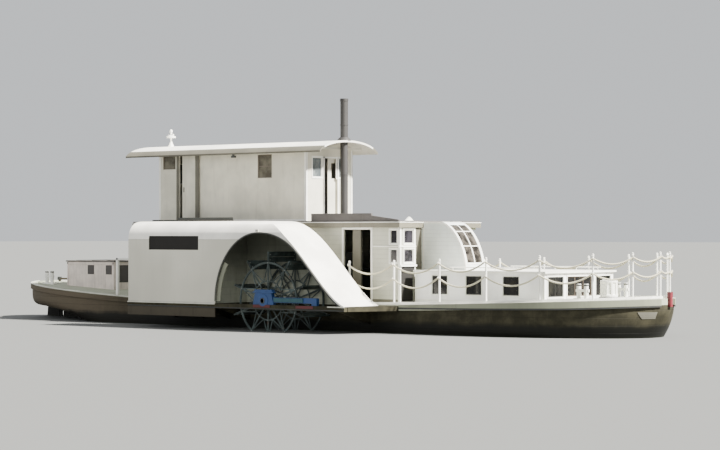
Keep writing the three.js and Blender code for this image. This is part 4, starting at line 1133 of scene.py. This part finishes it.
def roofFaces(centre, normal):
    # 0 on top, 1 beneath, 2 on the steep strips along both eaves, painted grey as painted shade
    steep = np.where(np.abs(centre[:, 1]) > roofZones["eave"], 2, 0)
    return np.where(normal[:, 2] < roofZones["under"], 1, steep)


def makeWheelhouse():
    kit = windowKit("wheelhouse")
    glaze(kit, 1, wheelhouse["side"], 1, wheelhouse["sideWindow"], (0, 1))
    glaze(kit, 1, wheelhouse["side"], 1, wheelhouse["aftSideWindow"])
    finishKit(kit, "brownGlass", "wallWhite", "sashBrown")
    kit = windowKit("wheelhouseFore")
    for y in wheelhouse["foreWindows"]:
        opening = (y - wheelhouse["foreHalf"], y + wheelhouse["foreHalf"], *wheelhouse["foreSpan"])
        glaze(kit, 0, wheelhouse["fore"], -1, opening, width=0.035)
    glaze(kit, 0, wheelhouse["aft"], 1, wheelhouse["aftWindow"], (1, 0))
    finishKit(kit, "paleGlass", mirrored=False)
    boardPiece("wheelhouseTrim", "trimWhite", wheelhouseTrim, bevel=0.003)
    boardPiece("doorShadeStrips", "greyPaintAndShade", doorShadeStrips, bevel=0.003)
    boardPiece("frontDoorFrame", "trimWhite", frontDoorFrame, False)
    for name, (body, limits) in doorPulls.items():
        boardPiece(name, "blackIron", limits, False, body=body)
    smoothCopy("wheelhouse_roof", ["roofWhite", "roofUnder", "greyPaintAndShade"], roofFaces, 30)
    Piece("funnelCollar").add(turned(funnel["collar"], funnel["at"])).make("funnelGrey", smooth=40)
    bands, (inner, outer), wide = Piece("funnelBands"), funnel["bandRadii"], funnel["bandWide"]
    for z in funnel["bands"]:
        profile = [(inner, z), (outer, z + 0.1 * wide), (outer, z + 0.9 * wide), (inner, z + wide)]
        bands.add(turned(profile, funnel["at"]))
    bands.make("funnelGrey", smooth=40)
    finial = Piece("ventFinial").add(turned(ventCap["knob"], ventCap["at"])).add(boards(ventCap["arm"]))
    finial.make("trimWhite", smooth=40)
    boardPiece("eaveLamp", "outlineGrey", eaveLamp, False)
    half, low, high = roofBeams["half"], roofBeams["low"], roofBeams["high"]
    beams = [(x, x + roofBeams["wide"], -half, half, low, high) for x in np.linspace(*roofBeams["span"])]
    boardPiece("roofBeams", "roofUnder", beams, False)
    print("wheelhouse dressed")


# Paddle wheels

wheel = dict(
    level=0.95, arms=10, faces=(-4.28, -3.04), plate=0.04,
    rings=((1.19, 1.145, 0.0), (1.17, 1.125, 0.012), (0.62, 0.58, 0.012)),  # radii, how far each stands in
    arm=(0.12, 1.45), flange=(0.028, 0.004, 0.016), web=0.009,
    brace=(0.6, 1.15), braceHalf=0.01, braceWidth=0.03,
    bolts=((1.16, 0.014), (0.6, 0.013), (0.165, 0.012)),  # radius from the hub, size
    floats=((1.18, 1.335), (1.345, 1.5)), floatSpan=(-4.28, -3.0), floatDepth=(-0.02, 0.018),
    boltRows=(-4.2, -3.08), boltRadii=(1.25, 1.41), boltHalf=0.012, boltDepth=(-0.034, 0.032))
axle = (0, 0, wheel["level"])


def bar(start, stop, y0, y1, width):
    # A flat bar in the wheel's plane between two points of (radius, angle from straight up)
    ends = np.array([(r * math.sin(a), 0, wheel["level"] + r * math.cos(a)) for r, a in (start, stop)])
    side = np.cross(unit(ends[1:] - ends[:1])[0], (0, 1, 0))
    half = width / 2
    return carried([(-half, y0), (half, y0), (half, y1), (-half, y1)], ends, side, (0, 1, 0))


def addWheelFace(iron, bolts, low, angles):
    # One side of a wheel: rings, T-shaped arms, braces between them, the hub's flange and bolt heads
    high, level, pitch = low + wheel["plate"], wheel["level"], angles[1]
    middle, foot, tip = (low + high) / 2, level + wheel["arm"][0], level + wheel["arm"][1]
    for outer, inner, thin in wheel["rings"]:
        near, far = low + thin, high - thin
        profile = [(inner, near), (outer, near), (outer, far), (inner, far), (inner, near)]
        iron.add(turned(profile, axle, 1, 60))
    half, near, far = wheel["flange"]
    flange, web = (-half, half, low + near, low + far), (-wheel["web"], wheel["web"], low, high)
    iron.add(spun(boards([(*flange, foot, tip), (*web, foot, tip)]), angles, axle))
    for lean in (0, 1):
        ends = (wheel["brace"][0], 0.5 * pitch), (wheel["brace"][1], lean * pitch)
        brace = bar(*ends, middle - wheel["braceHalf"], middle + wheel["braceHalf"], wheel["braceWidth"])
        iron.add(spun(brace, angles, axle))
    hub = [(0.0755, low - 0.01), (0.13, low - 0.01), (0.14, low), (0.19, low), (0.19, high), (0.14, high),
           (0.13, high + 0.03), (0.0755, high + 0.03)]
    iron.add(turned(hub, axle, 1, 32))
    for radius, size in wheel["bolts"]:
        profile = [(0, low - 0.012), (size, low - 0.012), (size, low + 0.004)]
        bolts.add(spun(turned(profile, (0, 0, level + radius), 1, 6), angles, axle))


def makeWheels():
    level, half = wheel["level"], wheel["boltHalf"]
    angles = turn / wheel["arms"] * np.arange(wheel["arms"])
    for side, flip in (("starboard", 1), ("port", -1)):
        iron, bolts = Piece(side + "Wheel"), Piece(side + "WheelBolts")
        for low in wheel["faces"]:
            addWheelFace(iron, bolts, low, angles)
        for foot, tip in wheel["floats"]:
            plank = (*wheel["floatDepth"], *wheel["floatSpan"], level + foot, level + tip)
            iron.add(spun(boards(plank), angles, axle))
        for y in wheel["boltRows"]:
            for z in np.add(wheel["boltRadii"], level):
                row = (*wheel["boltDepth"], y - half, y + half, z - half, z + half)
                bolts.add(spun(boards(row), angles, axle))
        for piece in (iron, bolts):
            piece.points = [points * (1, flip, 1) for points in piece.points]
        iron.make("wheelIron", "paddle_wheels", "iron", smooth=35, replace=(side + "_paddle_wheel",))
        bolts.make("shaftSteel", "paddle_wheels")
    makeBearings()
    print("paddle wheels made")


shaftCap = [(0, -4.55), (0.07, -4.55), (0.075, -4.545), (0.075, -4.53)]  # radius and Y
bearingRing = [(0.09, -4.5), (0.2, -4.5), (0.2, -4.512), (0.16, -4.53), (0.09, -4.53)]
bearingBlock = [(-0.42, 0.42, -4.52, -4.36, 1.19, 1.235), (-0.36, 0.36, -4.51, -4.37, 1.2, 1.29)]
beamStrips = [(-0.4, 0.3, -4.526, -4.522, 0.74, 0.825), (1.35, 2.05, -4.526, -4.522, 0.74, 0.825)]


def makeBearings():
    cap = Piece("shaftCaps").add(turned(shaftCap, axle, 1, 24)).mirror()
    cap.make("shaftSteel", "paddle_wheels", smooth=40)
    bearing = Piece("bearingCap").add(turned(bearingRing, axle, 1, 32)).add(boards(bearingBlock))
    bearing.mirror().make("bearingBlue", smooth=35, bevel=0.004)
    boardPiece("bearingStrut", "tealPaint", (0.44, 1.62, -4.515, -4.48, 0.92, 1.045), bevel=0.008)
    boardPiece("beamStrips", "beamRed", beamStrips)


# Rail posts and deck fittings

finial = [(0.03, -0.002), (0.042, 0.004), (0.04, 0.016), (0.022, 0.024),
          (0.034, 0.045), (0.034, 0.062), (0, 0.08)]  # radius, height over the post
stemFinial = [(0.03, -0.01), (0.045, 0), (0.03, 0.05), (0, 0.07)]
eye = dict(radius=0.034, steps=16, wire=0.006, sides=6)


def lifted(profile, level):
    return [(radius, level + height) for radius, height in profile]


def makeRails():
    ring = np.linspace(0, turn, eye["steps"], endpoint=False)[:, None]
    wire = [(eye["wire"] * math.cos(a), eye["wire"] * math.sin(a))
            for a in np.linspace(0, turn, eye["sides"], endpoint=False)]
    finials, eyes = Piece("postFinials"), Piece("ropeEyes")
    for foot, out in zip(*edgePath(postLine["stations"], postLine["inset"], 0)):
        top = foot[2] + postLine["height"]
        finials.add(turned(lifted(finial, top), (foot[0], foot[1], 0), 2, 16))
        for rope in ropeRails.values():
            level = top - postLine["below"] - rope["drop"]
            centre = np.array([foot[0], foot[1], level]) + out * postLine["offset"]
            radial = np.cos(ring) * out + np.sin(ring) * (0, 0, 1)
            path = centre + radial * eye["radius"]
            eyes.add(carried(wire, path, radial, np.cross(out, (0, 0, 1)), True))
    finials.mirror().make("trimWhite", smooth=40)
    eyes.mirror().make("trimWhite", smooth=40)
    top = float(sheer(postLine["stemX"])) + postLine["stemHeight"]
    stem = Piece("stemFinial").add(turned(lifted(stemFinial, top), (postLine["stemX"], 0, 0), 2, 16))
    stem.make("trimWhite", smooth=40)
    print("rail posts finished")


lockerBoards = [
    (-12.47, -12.41, -1.168, -1.15, 1.2, 1.99),  # aft corner on the side
    (-10.16, -10.1, -1.168, -1.15, 1.2, 1.99),  # fore corner on the side
    (-12.48, -10.1, -1.168, -1.15, 1.93, 2.0),  # top rail
    (-10.1, -10.085, -1.16, -1.1, 1.15, 2.0),  # starboard edge of the front
    (-10.1, -10.085, 0.6, 0.66, 1.15, 2.0),  # port edge of the front
    (-10.1, -10.085, -0.3, -0.24, 1.15, 2.0),  # middle of the front
]
# grey panels on the locker's side and front: painted shade
lockerShadePanels = [
    (-11.42, -11.1, -1.16, -1.15, 1.58, 1.9),
    (-10.5, -10.2, -1.16, -1.15, 1.58, 1.9),
    (-10.1, -10.092, -0.9, -0.4, 1.3, 1.9),
]
lid = dict(edges=[(-12.52, -10.06, -1.19, -1.18, 2.016, 2.05), (-10.07, -10.058, -1.18, 0.68, 2.016, 2.05)],
           battens=(-12.0, -11.2, -10.45), batten=(0.08, -1.17, 0.67, 2.06, 2.072))
capstan = dict(x=9.62, rise=0.526, profile=[(0.07, 0), (0.2, 0), (0.2, 0.02), (0.16, 0.035), (0.07, 0.035)])
bitts = dict(places=(("foreBitt", 9.4, -1.05), ("aftBitt", -13.3, -1.25)), apart=0.13, top=0.49,
             band=[(0.064, -0.06), (0.071, -0.055), (0.071, -0.025), (0.064, -0.02)])
rudderStraps = [(-14.7, -14.1, -0.036, 0.036, -0.1, -0.03), (-14.7, -14.1, -0.036, 0.036, -0.5, -0.43)]
tiller = dict(at=(-14.15, 0, 0), head=[(0.05, 1.44), (0.08, 1.43), (0.08, 1.33), (0.05, 1.32)])
helm = dict(at=(-2.06, 0, 4.5), boss=[(0.0, 0.06), (0.06, 0.05), (0.09, 0.036), (0.09, 0.035)])


def makeFittings():
    boardPiece("lockerBoards", "oldCream", lockerBoards, False, bevel=0.003)
    boardPiece("lockerShadePanels", "slabGrey", lockerShadePanels, False)
    wide, *limits = lid["batten"]
    battens = [(x, x + wide, *limits) for x in lid["battens"]]
    boardPiece("lidEdge", "outlineGrey", lid["edges"] + battens, False, body="locker_lid")
    top = float(sheer(capstan["x"])) + hull["camber"] + capstan["rise"]
    cap = Piece("capstanCap").add(turned(lifted(capstan["profile"], top), (capstan["x"], 0, 0)))
    cap.make("trimWhite", "capstan", smooth=35)
    for name, x, y in bitts["places"]:
        band = lifted(bitts["band"], float(sheer(x)) + bitts["top"])
        bands = Piece(name + "Bands")
        for shift in (-bitts["apart"], bitts["apart"]):
            bands.add(turned(band, (x + shift, y, 0), 2, 20))
        bands.mirror().make("blackIron", smooth=40)
    boardPiece("rudderStraps", "blackIron", rudderStraps, False, body="rudder")
    stock = Piece("tillerHead").add(turned(tiller["head"], tiller["at"], 2, 20))
    stock.make("blackIron", "rudder", smooth=35)
    boss = Piece("helmBoss").add(turned(helm["boss"], helm["at"], 0, 24))
    boss.make("shaftSteel", "helm", smooth=35)
    print("fittings made")


setCamera()
setLamps()
finishes = makeFinishes()
makeRopes()
dressNodes()
makeHullShell()
makeBoxes()
makeHouse()
makeDeckPlanks()
makeDeckEdge()
makeForeCabin()
makeWheelhouse()
makeWheels()
makeRails()
makeFittings()
makeFloor()
